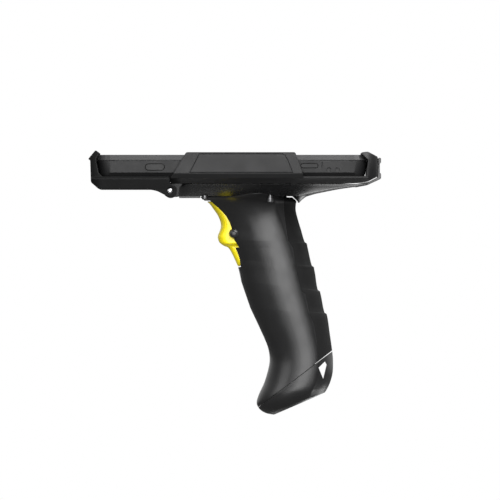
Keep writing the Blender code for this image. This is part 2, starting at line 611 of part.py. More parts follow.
def build_grip_shells():
    boss = ((2.2, -12.2), (3.0, -11.4), (3.0, 11.4), (2.2, 12.2))
    grip = join(handle_form("grip"), turned_y("cheek_boss", *CHEEK_BOSS, boss))
    x, y, _ = HANDLE_SCREW
    for side in (-1, 1):
        notch = ((SCREW_NOTCH_R, 51.0), (SCREW_NOTCH_R, 60.4),
                 (SCREW_R + RUNNING, 60.4), (SCREW_R + RUNNING, 68.0))
        cut(grip, turned_z("screw_notch", x, side * y, notch))
    cut(grip, shell_form("shell_room", GAP))
    join(grip, slab("tongue", (-47.2, 1.5), (-6.0, 6.0), (60.9, 62.0)))
    skin = backstrap_region("skin", 80.0, GAP)
    cut(skin, handle_form("core", 1.0, BACKSTRAP_SKIN + GAP, BACKSTRAP_SKIN + GAP))
    cut(grip, skin)
    cut(grip, handle_form("cavity", GRIP_WALL, GRIP_WALL + 1.0, GRIP_WALL, HANDLE_STATIONS[5:-3]))
    for x, z in GRIP_SCREWS:
        join(grip, rod_y("boss", x, z, 3.4, -13.5, 13.5))
    cut(grip, cap_block("below_seam", -CAP_SLOT / 2, below=True))
    cut(grip, seam_prism("socket", (-14.5 - GAP, 12.5 + GAP), (-6.0 - GAP, 1.5), 9.0 + GAP))
    cut(grip, seam_prism("lip_socket", (-20.5 - GAP, 25.0 + GAP), (-1.2 - GAP, 1.5), 5.0 + GAP))
    cut(grip, prism("trigger_slot", TRIGGER_SLOT, -TRIGGER_HALF - GAP, TRIGGER_HALF + GAP))
    cut(grip, prism("tip_slot", TRIGGER_TIP_SLOT, -TRIGGER_TIP_HALF - GAP, TRIGGER_TIP_HALF + GAP))
    cut(grip, rod_y("pivot_hole", PIVOT_X, PIVOT_Z, PIVOT_PIN_R + RUNNING, -10.9, 10.9))
    for x, z in GRIP_SCREWS:
        bore = ((SCREW_R + RUNNING, -10.0), (SCREW_R + RUNNING, 11.6), (2.1, 11.6), (2.1, 30.0))
        cut(grip, turned_y("screw_bore", x, z, bore))
    left = copy_of(grip, "grip_shell_left")
    grip.name = "grip_shell_right"
    cut(grip, slab("left_side", (-90.0, 90.0), (-FAR, GAP / 2), (-90.0, 90.0)))
    cut(left, slab("right_side", (-90.0, 90.0), (-GAP / 2, FAR), (-90.0, 90.0)))
    finish(left, "grip_plastic")
    finish(grip, "grip_plastic")


def build_base_cap():
    cap = meet(handle_form("base_cap"), cap_block("below_seam", CAP_SLOT / 2, below=True))
    join(cap, seam_prism("lip", (-20.5, 25.0), (-1.2, 1.5), 5.0))
    join(cap, seam_prism("spigot", (-14.5, 12.5), (-6.0, 1.5), 9.0))
    cut(cap, seam_prism("hollow", (-7.0, 10.0), (-20.0, 7.0), 6.5))
    cut(cap, prism("lanyard_hole", LANYARD_HOLE, -FAR, FAR))
    return finish(cap, "grip_plastic")


def build_grip_fittings():
    for number, (x, z) in enumerate(GRIP_SCREWS, start=1):
        profile = ((SCREW_R - 0.4, -9.6), (SCREW_R, -9.0), (SCREW_R, 12.0), (SCREW_HEAD_R, 12.0),
                   (SCREW_HEAD_R, 13.6), (SCREW_HEAD_R - 0.4, 14.0))
        finish(turned_y(f"grip_screw_{number}", x, z, profile), "steel")
    finish(rod_y("trigger_pivot_pin", PIVOT_X, PIVOT_Z, PIVOT_PIN_R, -10.6, 10.6), "steel")
    switch = slab("trigger_switch", (-18.8, -13.2), (-3.2, 3.2), (30.0, 42.8))
    join(switch, slab("plunger", (-20.3, -18.0), (-1.2, 1.2), (31.5, 34.5)))
    finish(switch, "battery_wrap")
    finish(slab("switch_board", (-12.9, -11.5), (-8.0, 8.0), (26.0, 40.0)), "circuit_board")
    coil = turned_y("trigger_spring", PIVOT_X, PIVOT_Z, ((2.7, -2.7), (2.7, 2.7)))
    cut(coil, rod_y("coil_bore", PIVOT_X, PIVOT_Z, 1.9, -5.0, 5.0))
    finish(coil, "spring_steel")


def trigger_ring(front, back, half):
    """A rounded box section between a front and a back point, crowned towards the finger."""
    start = Vector((front[0], 0.0, front[1]))
    chord = Vector((back[0], 0.0, back[1])) - start
    ring = []
    for step in range(TRIGGER_SIDES):
        angle = math.tau * (step + 0.5) / TRIGGER_SIDES
        along = math.copysign(abs(math.cos(angle)) ** (2 / TRIGGER_SQUARENESS), math.cos(angle))
        across = math.copysign(abs(math.sin(angle)) ** (2 / TRIGGER_SQUARENESS), math.sin(angle))
        share = (1.0 + along) / 2
        crown = chord.normalized() * (TRIGGER_CROWN * across * across * (1.0 - share))
        ring.append(start + chord * share + crown + Vector((0.0, half * across, 0.0)))
    return ring


def build_trigger():
    """A crowned finger lever, hung from the pivot pin."""
    trigger = loft("trigger", [trigger_ring(*station) for station in TRIGGER_STATIONS])
    join(trigger, rod_y("hub", PIVOT_X, PIVOT_Z, TRIGGER_HUB_R, -8.8, 8.8))
    cut(trigger, rod_y("pin_hole", PIVOT_X, PIVOT_Z, PIVOT_PIN_R + RUNNING, -20.0, 20.0))
    cut(trigger, rod_y("spring_room", PIVOT_X, PIVOT_Z, TRIGGER_HUB_R + 0.2, -3.0, 3.0))
    return finish(trigger, "trigger_plastic", (PIVOT_X, 0.0, PIVOT_Z))


def main():
    clear_scene()
    build_terminal()
    build_cradle()
    build_backstrap()
    build_grip_shells()
    build_base_cap()
    build_grip_fittings()
    build_trigger()


main()
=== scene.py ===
"""Looks of the handheld data collector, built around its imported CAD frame.

Frame: +X points to the rear end of the terminal, +Z up, the trigger faces -X, metres.
Outlines are in millimetres in the same frame, and MM turns them into metres.
"""
import math

import bpy
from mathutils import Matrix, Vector


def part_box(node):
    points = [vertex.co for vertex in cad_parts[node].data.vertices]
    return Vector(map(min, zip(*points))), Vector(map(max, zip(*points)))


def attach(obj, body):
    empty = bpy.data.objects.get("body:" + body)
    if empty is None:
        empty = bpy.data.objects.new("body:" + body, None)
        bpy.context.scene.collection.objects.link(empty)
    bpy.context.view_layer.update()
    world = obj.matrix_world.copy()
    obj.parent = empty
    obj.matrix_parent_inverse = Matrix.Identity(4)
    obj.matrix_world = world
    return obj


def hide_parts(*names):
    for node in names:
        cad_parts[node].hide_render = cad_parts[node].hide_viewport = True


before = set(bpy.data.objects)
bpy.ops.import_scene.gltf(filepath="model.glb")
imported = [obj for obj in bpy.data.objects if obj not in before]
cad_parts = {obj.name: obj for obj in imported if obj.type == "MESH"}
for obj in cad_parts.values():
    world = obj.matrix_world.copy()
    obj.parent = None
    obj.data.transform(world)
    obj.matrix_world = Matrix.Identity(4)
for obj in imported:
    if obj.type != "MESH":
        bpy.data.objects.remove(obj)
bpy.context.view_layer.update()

MM = 0.001
GAP = 0.3             # between neighbouring solids
FINE_GAP = 0.1        # between the handle's top and the lower shell
SEAM = 0.08           # at each side of the backstrap and of the base cap's seam
RUNNING = 0.08        # radial clearance of a shaft in its hole
ROUND = 40            # sides of a small round piece
CORNER_STEPS = 10     # facets on a rounded corner in plan
FAR = 60.0            # half width of a tool that cuts right across

# Terminal: the touch computer lying screen up in the cradle
TERMINAL_FRONT = -111.0
TERMINAL_REAR = 49.1
TERMINAL_HALF = 38.0
TERMINAL_CORNER = 8.0
TERMINAL_BASE = 70.2
HOUSING_TOP = 82.1
BEZEL_WIDEST = 82.9
TERMINAL_TOP = 85.75
# z, inset of the ends, inset of the sides
HOUSING_OUTSIDE = ((TERMINAL_BASE, 4.2, 4.0), (73.0, 1.9, 2.6), (75.3, 1.3, 0.8), (HOUSING_TOP, 0.15, 0.1))
HOUSING_INSIDE = ((HOUSING_TOP, 2.2, 2.1), (75.3, 3.3, 2.8), (72.0, 5.2, 4.6))
# x range, middle height, height
SCAN_KEY = ((-82.1, -71.0), 78.5, 3.5)
REAR_KEY = ((9.6, 19.6), 79.3, 2.3)
STRAP_HOLES = ((26.2, 76.9), (31.1, 76.9))
CARD_SLOT_X = 21.9
CAMERA_X = -96.0

# Cradle: upper frame, lower shell and the hinged front arm
HINGE_X = -67.6
HINGE_Z = 64.5
HINGE_PIN_R = 1.5
EAR_R = 4.0
LUG_Y = (30.0, 36.0)
SEAM_Z = 68.9         # underside of the upper frame
SEAM_X = -67.4        # front end of the upper frame
RIM_Z = 73.0
ARM_TOP_Z = 87.3
FLOOR_TOP = 69.85
LIP_INSIDE_Y = 35.8
# z, half width
SIDE_ARM_WIDTHS = ((66.0, 34.0), (SEAM_Z, 36.8), (71.75, 39.95), (71.95, 40.45), (74.3, 41.75),
                   (74.75, 41.95), (75.2, 42.0), (82.1, 41.6), (84.7, 41.0), (86.7, 40.2), (ARM_TOP_Z, 39.7),
                   (89.0, 38.4))
RIM_WIDTHS = ((66.0, 34.0), (SEAM_Z, 36.8), (72.2, 40.6), (74.0, 39.0))
HOOK_WIDTHS = ((66.0, 34.0), (SEAM_Z, 36.8), (73.0, 39.2), (83.0, 39.0), (89.0, 36.5))
LATCH_WIDTHS = ((60.0, 39.6), (65.4, 40.4), (71.6, 41.8), (RIM_Z, 40.5), (82.6, 40.2), (89.0, 37.6))
# z, front end, rear end, half width
SHELL_OUTSIDE = ((61.5, -63.3, 12.5, 23.0), (63.5, -62.9, 21.4, 27.5), (65.8, -62.6, 33.3, 31.5),
                 (67.7, -62.0, 46.8, 34.3), (68.6, -61.2, 50.5, 35.8))
SHELL_INSIDE = ((68.6, -57.0, 46.0, 33.6), (65.8, -59.4, 31.0, 29.4), (63.6, -60.4, 18.0, 25.2))
NECK = ((57.6, 8.0, 8.8, 9.0), (58.4, 7.8, 9.5, 13.0), (59.8, 6.4, 11.0, 17.0), (61.3, 4.9, 13.2, 20.5),
        (62.6, 3.6, 17.5, 22.5), (64.0, 2.4, 21.0, 24.0))
SUBFLOOR = ((-54.0, 30.0), (-28.0, 28.0), (66.4, 69.2))
SCREW_R = 1.25
SCREW_HEAD_R = 1.8
SCREW_HEAD_HEIGHT = 2.6
SHELL_SCREW = (-47.1, 21.5, 59.5)      # x, y, underside of the head
HANDLE_SCREW = (-8.4, 23.0, 57.7)
SCREW_NOTCH_R = 2.3
SCREW_TIP_Z = 68.2

# Handle: stations from the top down: front point, back point, half thickness, ledge on the backstrap
HANDLE_STATIONS = (
    ((-30.0, 65.2), (0.6, 65.2), 28.6, 0.0), ((-44.0, 62.8), (2.6, 62.8), 26.8, 0.0),
    ((-49.6, 61.0), (4.4, 61.0), 24.2, 0.0), ((-47.9, 59.4), (7.0, 58.6), 21.4, 0.0),
    ((-46.2, 57.2), (6.8, 56.8), 19.2, 0.0), ((-42.4, 53.6), (6.7, 53.2), 17.8, 0.0),
    ((-38.8, 49.4), (7.9, 48.0), 17.0, 0.0), ((-36.2, 43.9), (10.0, 41.0), 16.8, 0.0),
    ((-34.4, 36.0), (12.0, 34.4), 17.0, 0.0), ((-33.6, 34.8), (12.3, 33.5), 17.0, 0.9),
    ((-32.2, 32.8), (12.8, 31.8), 17.0, 0.8), ((-30.8, 30.6), (13.3, 30.0), 17.0, 0.7),
    ((-28.4, 24.4), (16.2, 20.5), 17.2, 0.0), ((-28.2, 22.6), (16.4, 19.6), 17.2, 1.0),
    ((-27.9, 20.6), (16.8, 18.0), 17.2, 0.9), ((-27.1, 18.0), (17.5, 15.6), 17.2, 0.7),
    ((-25.8, 11.9), (19.7, 6.2), 17.4, 0.0), ((-25.5, 10.6), (20.0, 5.1), 17.4, 1.1),
    ((-20.5, -4.0), (23.7, -7.4), 17.3, 0.0), ((-20.2, -4.8), (23.9, -8.3), 17.3, 1.2),
    ((-14.5, -17.0), (26.4, -20.0), 17.0, 0.5), ((-10.0, -27.5), (28.3, -30.0), 16.9, 0.0),
    ((-8.8, -34.2), (28.8, -36.0), 17.1, 0.0), ((-9.4, -40.0), (28.6, -43.0), 17.5, 0.0),
    ((-12.0, -49.0), (27.2, -48.5), 17.8, 0.0), ((-15.2, -56.0), (25.9, -51.6), 17.6, 0.0),
    ((-16.5, -61.0), (25.0, -53.2), 16.6, 0.0), ((-14.8, -64.6), (24.3, -54.3), 15.2, 0.0),
    ((-11.1, -67.0), (23.8, -54.9), 13.8, 0.0), ((-6.3, -68.0), (23.3, -55.1), 12.0, 0.0))
# Half section: share of the way from front to back, share of the half thickness
HALF_SECTION = ((0.0, 0.0), (0.015, 0.22), (0.07, 0.47), (0.17, 0.70), (0.32, 0.89), (0.48, 0.98),
                (0.60, 1.0), (0.69, 0.985), (0.765, 0.945), (0.80, 0.86), (0.90, 0.55), (0.965, 0.24),
                (1.0, 0.0))
SECTION_STEPS = 4              # steps of the smooth curve between two of its points
STATION_STEPS = 4
TRIGGER_STEPS = 5
SHELL_STEPS = 5
NECK_STEPS = 3
LEDGE_SHARE = (0.78, 0.84)     # where on the section a ledge starts and reaches its full height
CHEEK_BOSS = (-29.8, 39.4)
BACKSTRAP_TOP = 60.8
BACKSTRAP_EDGE = ((-0.3, 52.7), (2.1, 35.1), (5.0, 30.8), (6.8, 18.1), (10.1, 4.8),
                  (12.4, 3.5), (14.9, -8.8), (17.3, -13.7), (19.3, -25.5), (18.9, -34.0))
BACKSTRAP_SKIN = 2.5
GRIP_WALL = 5.0
CAP_SEAM_BACK = Vector((28.3, 0.0, -30.2))
CAP_SEAM_FRONT = Vector((-15.9, 0.0, -63.8))
CAP_SLOT = 0.5                 # height of the open slit at the back of the base cap's seam
# Stretches along the seam, counted from its middle, with the front positive
SLIT_ALONG = (-32.0, -15.0)
LIP_ALONG = (-14.5, 25.0)
SPIGOT_ALONG = (-14.5, 12.5)
LANYARD_HOLE = ((23.9, -36.4), (20.2, -40.0), (23.0, -46.8), (25.0, -38.3))
GRIP_SCREWS = ((-6.0, 46.0), (-1.0, 12.0), (9.0, -20.0))

# Trigger
PIVOT_X = -37.5
PIVOT_Z = 57.0
PIVOT_PIN_R = 1.5
TRIGGER_HALF = 9.0
TRIGGER_CROWN = 1.8
TRIGGER_TIP_HALF = 6.0         # half width below TRIGGER_STEP_Z
TRIGGER_STEP_Z = 31.0
TRIGGER_HUB_R = 3.2
TRIGGER_SIDES = 72
TRIGGER_SQUARENESS = 4.5
# Stations from the top down: front point, back point, half width
TRIGGER_STATIONS = (
    ((-45.5, 58.4), (-36.2, 58.5), 8.2), ((-45.7, 58.0), (-35.0, 58.1), TRIGGER_HALF),
    ((-44.4, 56.9), (-34.5, 57.0), TRIGGER_HALF), ((-42.2, 53.9), (-34.0, 55.0), TRIGGER_HALF),
    ((-39.6, 50.1), (-31.0, 51.4), TRIGGER_HALF), ((-37.9, 45.6), (-27.2, 46.0), TRIGGER_HALF),
    ((-38.0, 42.2), (-25.4, 42.2), TRIGGER_HALF), ((-39.6, 37.7), (-24.3, 38.2), TRIGGER_HALF),
    ((-38.8, 34.4), (-23.8, 35.2), TRIGGER_HALF), ((-37.5, 33.1), (-23.6, 33.6), 8.7),
    ((-35.8, 32.0), (-23.4, 32.1), TRIGGER_TIP_HALF), ((-33.3, 30.9), (-23.3, 29.6), TRIGGER_TIP_HALF),
    ((-31.1, 27.4), (-23.7, 26.6), TRIGGER_TIP_HALF), ((-29.3, 23.6), (-24.2, 23.6), TRIGGER_TIP_HALF),
    ((-27.8, 20.4), (-24.7, 21.6), 5.8), ((-27.0, 19.8), (-25.1, 20.9), 5.2))
TRIGGER_SLOT = ((-54.0, 58.7), (-41.6, 58.9), (-40.6, 60.5), (-34.2, 60.5), (-33.4, 55.8), (-26.9, 49.0),
                (-22.2, 41.0), (-20.0, TRIGGER_STEP_Z), (-54.0, TRIGGER_STEP_Z))
TRIGGER_TIP_SLOT = ((-54.0, 33.0), (-20.0, 33.0), (-20.2, 22.5), (-22.5, 20.3), (-28.0, 19.2), (-54.0, 19.2))

# View and stage, in metres
VIEW_DISTANCE = 8.0
VIEW_WIDTH = 0.2963
VIEW_CENTRE = (-0.0204, 0.0296)
FLOOR_Z = -0.30
FLOOR_HALF = 4.0
FLOOR_BOUNCE = 0.12
WORLD_AXIS = (0.0, 0.8, 0.6)
# share of the way from against the world's axis (0) to along it (1), brightness
WORLD_TONES = ((0.0, 0.05), (0.45, 0.10), (0.65, 0.35), (0.85, 0.9), (1.0, 1.0))
# name, place, target, width and height, watts
LIGHTS = (("key", (0.55, -0.95, 1.05), (0.0, 0.0, 0.02), (0.9, 0.9), 30.0),
          ("fill", (-0.08, -1.5, 0.12), (0.0, 0.0, 0.0), (0.95, 0.9), 15.5),
          ("left", (-1.1, -0.9, 0.58), (0.0, 0.0, -0.02), (0.8, 0.8), 6.0),
          ("rear", (0.12, 0.22, -0.23), (0.03, 0.0, 0.065), (0.25, 0.2), 0.44))


# ---------------------------------------------------------------- building blocks

def solid(name, points, faces):
    """A mesh object from points in millimetres."""
    mesh = bpy.data.meshes.new(name)
    mesh.from_pydata([Vector(point) * MM for point in points], [], faces)
    mesh.validate()
    made = bpy.data.objects.new(name, mesh)
    bpy.context.scene.collection.objects.link(made)
    face_outwards(made)
    return made


def face_outwards(made):
    """Turn a closed mesh right side out when its signed volume is negative."""
    mesh = made.data
    mesh.calc_loop_triangles()
    volume = 0.0
    for triangle in mesh.loop_triangles:
        a, b, c = (mesh.vertices[index].co for index in triangle.vertices)
        volume += a.dot(b.cross(c))
    if volume < 0:
        mesh.flip_normals()


def loft(name, rings):
    """A skin over rings of equal length, capped at both ends."""
    count = len(rings[0])
    points = [point for ring in rings for point in ring]
    faces = []
    for row in range(len(rings) - 1):
        start = row * count
        after = start + count
        for index in range(count):
            following = (index + 1) % count
            faces.append((start + index, start + following, after + following, after + index))
    faces.append(tuple(reversed(range(count))))
    last = (len(rings) - 1) * count
    faces.append(tuple(range(last, last + count)))
    return solid(name, points, faces)


def plan_ring(front, rear, half, radius, z, steps=CORNER_STEPS):
    """A rounded rectangle in plan, counter-clockwise."""
    corners = ((rear - radius, half - radius, 0.0), (front + radius, half - radius, 90.0),
               (front + radius, radius - half, 180.0), (rear - radius, radius - half, 270.0))
    ring = []
    for x, y, start in corners:
        for step in range(steps + 1):
            angle = math.radians(start + 90.0 * step / steps)
            ring.append((x + radius * math.cos(angle), y + radius * math.sin(angle), z))
    return ring


def slab(name, x_range, y_range, z_range):
    """A rectangular block."""
    outline = [(x_range[0], z_range[0]), (x_range[1], z_range[0]),
               (x_range[1], z_range[1]), (x_range[0], z_range[1])]
    return prism(name, outline, *y_range)


def prism(name, outline, y_from, y_to):
    """An outline in the side view (x, z), extruded across the object."""
    return loft(name, [[(x, y, z) for x, z in outline] for y in (y_from, y_to)])


def circle(radius):
    """Corners of a round section about the origin."""
    return [(radius * math.cos(math.tau * (step + 0.5) / ROUND),
             radius * math.sin(math.tau * (step + 0.5) / ROUND)) for step in range(ROUND)]


def rod_y(name, x, z, radius, y_from, y_to):
    """A round rod across the object."""
    return prism(name, [(x + u, z + v) for u, v in circle(radius)], y_from, y_to)


def turned_z(name, x, y, profile):
    """A stack of circles about a vertical axis; the profile holds (radius, z)."""
    return loft(name, [[(x + u, y + v, z) for u, v in circle(radius)] for radius, z in profile])


def turned_y(name, x, z, profile):
    """A stack of circles about an axis across the object; the profile holds (radius, y)."""
    return loft(name, [[(x + u, y, z + v) for u, v in circle(radius)] for radius, y in profile])


def stadium(x_range, z_mid, height, grow=0.0, steps=5):
    """A bar with round ends, in the side view."""
    radius = height / 2 + grow
    ends = ((x_range[1] + grow - radius, -90.0), (x_range[0] - grow + radius, 90.0))
    outline = []
    for x, start in ends:
        for step in range(steps + 1):
            angle = math.radians(start + 180.0 * step / steps)
            outline.append((x + radius * math.cos(angle), z_mid + radius * math.sin(angle)))
    return outline


def arc(x, z, radius, start, end, steps):
    """Points on an arc in the side view, from start to end in degrees."""
    angles = [math.radians(start + (end - start) * step / steps) for step in range(steps + 1)]
    return [(x + radius * math.cos(angle), z + radius * math.sin(angle)) for angle in angles]


def combine(target, tool, operation, keep_tool=False):
    """Apply a Boolean to the target's mesh and take the tool away."""
    modifier = target.modifiers.new("combine", "BOOLEAN")
    modifier.operation = operation
    modifier.solver = "EXACT"
    modifier.object = tool
    graph = bpy.context.evaluated_depsgraph_get()
    result = bpy.data.meshes.new_from_object(target.evaluated_get(graph))
    target.modifiers.clear()
    spent = target.data
    target.data = result
    bpy.data.meshes.remove(spent)
    result.name = target.name
    if not keep_tool:
        bpy.data.objects.remove(tool, do_unlink=True)
    return target


def cut(target, tool):
    """Take the tool's form out of the target."""
    return combine(target, tool, "DIFFERENCE")


def join(target, tool):
    """Add the tool's form to the target."""
    return combine(target, tool, "UNION")


def meet(target, tool, keep_tool=False):
    """Keep only what the target shares with the tool."""
    return combine(target, tool, "INTERSECT", keep_tool)


def copy_of(source, name):
    """A second object with its own mesh."""
    made = source.copy()
    made.data = source.data.copy()
    made.name = name
    bpy.context.scene.collection.objects.link(made)
    return made


def smooth_path(points, steps):
    """Points on a smooth curve through a row of points of any dimension, ends included."""
    rows = [Vector(point) for point in points]
    knots = [0.0]
    for before, after in zip(rows, rows[1:]):
        knots.append(knots[-1] + max((after - before).length, 0.001))
    slopes = []
    for index in range(len(rows)):
        low = max(index - 1, 0)
        high = min(index + 1, len(rows) - 1)
        slopes.append((rows[high] - rows[low]) / (knots[high] - knots[low]))
    path = []
    for index in range(len(rows) - 1):
        span = knots[index + 1] - knots[index]
        for step in range(steps):
            t = step / steps
            leaving = slopes[index] * (span * (t ** 3 - 2 * t ** 2 + t))
            arriving = slopes[index + 1] * (span * (t ** 3 - t ** 2))
            start = rows[index] * (2 * t ** 3 - 3 * t ** 2 + 1)
            end = rows[index + 1] * (3 * t ** 2 - 2 * t ** 3)
            path.append(tuple(start + leaving + end + arriving))
    path.append(tuple(rows[-1]))
    return path


def soften(outline, radius, steps=4):
    """A closed outline with its corners rounded off, by at most radius along each edge."""
    softened = []
    for index, corner in enumerate(outline):
        here = Vector(corner)
        before = Vector(outline[index - 1]) - here
        after = Vector(outline[(index + 1) % len(outline)]) - here
        reach = min(radius, before.length * 0.45, after.length * 0.45)
        start = here + before.normalized() * reach
        end = here + after.normalized() * reach
        for step in range(steps + 1):
            t = step / steps
            softened.append(tuple(start * (1 - t) ** 2 + here * (2 * t * (1 - t)) + end * t ** 2))
    return softened


# ---------------------------------------------------------------- terminal

def terminal_ring(z, end_inset, side_inset, grow=0.0):
    """The terminal's outline at one height, set in from its greatest length and width."""
    radius = max(TERMINAL_CORNER - side_inset, 2.0) + grow
    return plan_ring(TERMINAL_FRONT + end_inset - grow, TERMINAL_REAR - end_inset + grow,
                     TERMINAL_HALF - side_inset + grow, radius, z)


def terminal_clearance(name):
    """The room the terminal needs in the cradle, open upwards between the lips."""
    grow = 0.35
    sections = [(FLOOR_TOP, *HOUSING_OUTSIDE[0][1:]), *HOUSING_OUTSIDE[1:3],
                (BEZEL_WIDEST, 0.0, 0.0), (TERMINAL_TOP + GAP, 1.4, 1.4)]
    made = loft(name, [terminal_ring(*section, grow) for section in sections])
    way_up = loft("way_up", [plan_ring(-109.3, 45.0, LIP_INSIDE_Y, 5.0, z) for z in (85.0, 95.0)])
    return join(made, way_up)


def build_housing():
    """The terminal's tub, with openings for the door, keys, scanner, camera and socket."""
    rings = [terminal_ring(*section) for section in HOUSING_OUTSIDE + HOUSING_INSIDE]
    housing = loft("terminal_back_housing", rings)
    cut(housing, slab("door_opening", (-62.0, 26.0), (-31.0, 31.0), (60.0, 74.0)))
    cut(housing, turned_z("camera_opening", CAMERA_X, 0.0, ((4.8, 60.0), (4.8, 74.0))))
    cut(housing, slab("scan_opening", (-115.0, -105.0), (-13.0, 13.0), (75.6, 81.4)))
    cut(housing, slab("usb_opening", (44.0, 55.0), (-4.9, 4.9), (74.3, 78.3)))
    for side in (-1, 1):
        for key in (SCAN_KEY, REAR_KEY):
            cut(housing, prism("key_opening", stadium(*key, GAP), side * 33.0, side * 45.0))
        for x, z in STRAP_HOLES:
            cut(housing, rod_y("strap_hole", x, z, 1.3, side * 36.4, side * 45.0))
        slot_x = (CARD_SLOT_X, CARD_SLOT_X + 0.6)
        cut(housing, slab("card_slot", slot_x, (side * 37.0, side * 45.0), (77.9, 81.4)))
    return housing


# ---------------------------------------------------------------- cradle

def cradle_block(name, widths):
    """Solid outer form of the cradle, rounded in plan, cut to length afterwards."""
    return loft(name, [plan_ring(-116.4, 55.2, half, 9.0, z) for z, half in widths])


def cradle_slice(name, widths, outline):
    """The part of the cradle's outer form inside a side view outline."""
    return meet(cradle_block(name, widths), prism("outline", soften(outline, 0.9), -FAR, FAR))


def side_arm_outline():
    """Side view of the frame under the side arms, and the arms themselves."""
    return [(SEAM_X, SEAM_Z), (SEAM_X, 72.1), (-65.4, 74.85), (-58.1, ARM_TOP_Z), (6.3, ARM_TOP_Z),
            (10.7, 74.85), (11.2, 73.2), (12.2, SEAM_Z)]


def rim_outline():
    """Side view of the low rim behind the side arms."""
    return [(5.0, SEAM_Z), (5.0, 73.2), (49.2, 73.2), (49.9, 70.4), (46.3, 69.6), (33.5, SEAM_Z)]


def rear_hook_outline():
    """Side view of the fixed hook over the terminal's rear end."""
    return [(48.2, 70.0), (48.2, 74.0), (49.3, 82.8), (46.6, 85.4), (45.0, 86.8), (46.0, 87.3),
            (49.1, 87.7), (55.1, 84.6), (54.8, 72.9), (49.9, 70.4), (48.9, 70.2)]


def lug_outline():
    """Hinge lug under the frame, a round eye with a web up to the frame."""
    eye = arc(HINGE_X, HINGE_Z, EAR_R, 180.0, 300.0, 18)
    return [(SEAM_X, 69.3), *eye, (-62.6, 61.3), (-62.0, 66.4), (-60.5, 68.0), (-60.5, 69.3)]


def shell_form(name, grow):
    """Outer form of the lower shell's tray, grown for clearance."""
    rings = [plan_ring(front - grow, rear + grow, half + grow / 2, 7.0, z - grow)
             for z, front, rear, half in SHELL_OUTSIDE[:-1]]
    _, front, rear, half = SHELL_OUTSIDE[-1]
    rings.append(plan_ring(front - grow, rear + grow, half + grow, 7.0, SEAM_Z - 0.02))
    return loft(name, rings)


def build_frame():
    """The upper frame: side arms, low rim, rear hook and hinge lugs, hollowed for the terminal."""
    upper = cradle_slice("cradle_frame", SIDE_ARM_WIDTHS, side_arm_outline())
    join(upper, cradle_slice("rim", RIM_WIDTHS, rim_outline()))
    join(upper, cradle_slice("hook", HOOK_WIDTHS, rear_hook_outline()))
    for side in (-1, 1):
        join(upper, prism("lug", lug_outline(), side * LUG_Y[0], side * LUG_Y[1]))
    cut(upper, shell_form("shell_room", GAP))
    join(upper, slab("subfloor", *SUBFLOOR))
    cut(upper, terminal_clearance("room"))
    cut(upper, slab("seat_recess", (-50.3, 18.3), (-24.3, 24.3), (68.7, 75.0)))
    cut(upper, slab("contact_recess", (22.7, 29.3), (-7.3, 7.3), (60.0, 75.0)))
    cut(upper, slab("plug_access", (45.0, 60.0), (-9.0, 9.0), (73.4, 81.4)))
    for side in (-1, 1):
        cut(upper, prism("pad_recess", pad_outline(GAP), side * 39.4, side * 50.0))
        for x, y, _ in (SHELL_SCREW, HANDLE_SCREW):
            hole = ((SCREW_R + RUNNING, 60.0), (SCREW_R + RUNNING, SCREW_TIP_Z + 0.2))
            cut(upper, turned_z("screw_hole", x, side * y, hole))
        hole_r = HINGE_PIN_R + RUNNING
        cut(upper, rod_y("pin_hole", HINGE_X, HINGE_Z, hole_r, side * 28.0, side * 38.0))
    return upper


def pad_outline(grow=0.0):
    """Side pad let into the outside of each side arm."""
    return [(-55.8 - grow, 75.4 - grow), (4.6 + grow, 75.4 - grow), (1.9 + grow, 82.1),
            (0.1 + grow, 85.5), (-1.7, 86.2 + grow), (-50.4, 86.2 + grow), (-51.9 - grow, 82.8)]


def build_side_pads():
    """The left and the right pad, following the side arms' outer form."""
    block = cradle_block("pad_block", SIDE_ARM_WIDTHS)
    pads = []
    for side in (-1, 1):
        pads.append(meet(prism("pad", pad_outline(), side * 39.7, side * 50.0), block, keep_tool=True))
    bpy.data.objects.remove(block, do_unlink=True)
    return pads


def latch_outline():
    """Side view of the front arm: hook, rail, and the ear around the hinge."""
    ear = arc(HINGE_X, HINGE_Z, EAR_R, 215.0, 400.0, 32)
    return [(-107.6, RIM_Z), (-109.6, 75.0), (-111.4, BEZEL_WIDEST), (-109.9, 86.0), (-109.3, 86.8),
            (-111.5, 88.6), (-116.0, 83.2), (-114.7, 82.6), (-114.3, 69.6), (-109.5, 65.4),
            (-79.0, 65.4), (-75.5, 64.6), *ear, (-67.9, 69.2), (-67.9, 72.2), (-68.8, RIM_Z)]


def build_latch_arm():
    """The hinged front arm, with windows for the scanner and the camera."""
    arm = cradle_slice("front_latch_arm", LATCH_WIDTHS, latch_outline())
    cut(arm, terminal_clearance("room"))
    cut(arm, slab("scan_opening", (-120.0, -106.0), (-17.0, 17.0), (72.2, 95.0)))
    cut(arm, loft("camera_opening", [plan_ring(-106.5, -84.0, 14.0, 4.0, z) for z in (60.0, 75.0)]))
    # The arm reaches below its floor only in the two side rails.
    under = [(-104.0, 67.6), (-66.0, 67.6), (-60.0, 67.6), (-60.0, 55.0), (-104.0, 55.0)]
    cut(arm, prism("underside", under, -36.3, 36.3))
    for side in (-1, 1):
        cut(arm, rod_y("lug_room", HINGE_X, HINGE_Z, EAR_R + 0.8, side * 29.6, side * 36.3))
        cut(arm, rod_y("pin_hole", HINGE_X, HINGE_Z, HINGE_PIN_R + RUNNING, side * 36.0, side * 45.0))
        cut(arm, rod_y("pin_recess", HINGE_X, HINGE_Z, HINGE_PIN_R + 0.55, side * 40.0, side * 45.0))
    return arm


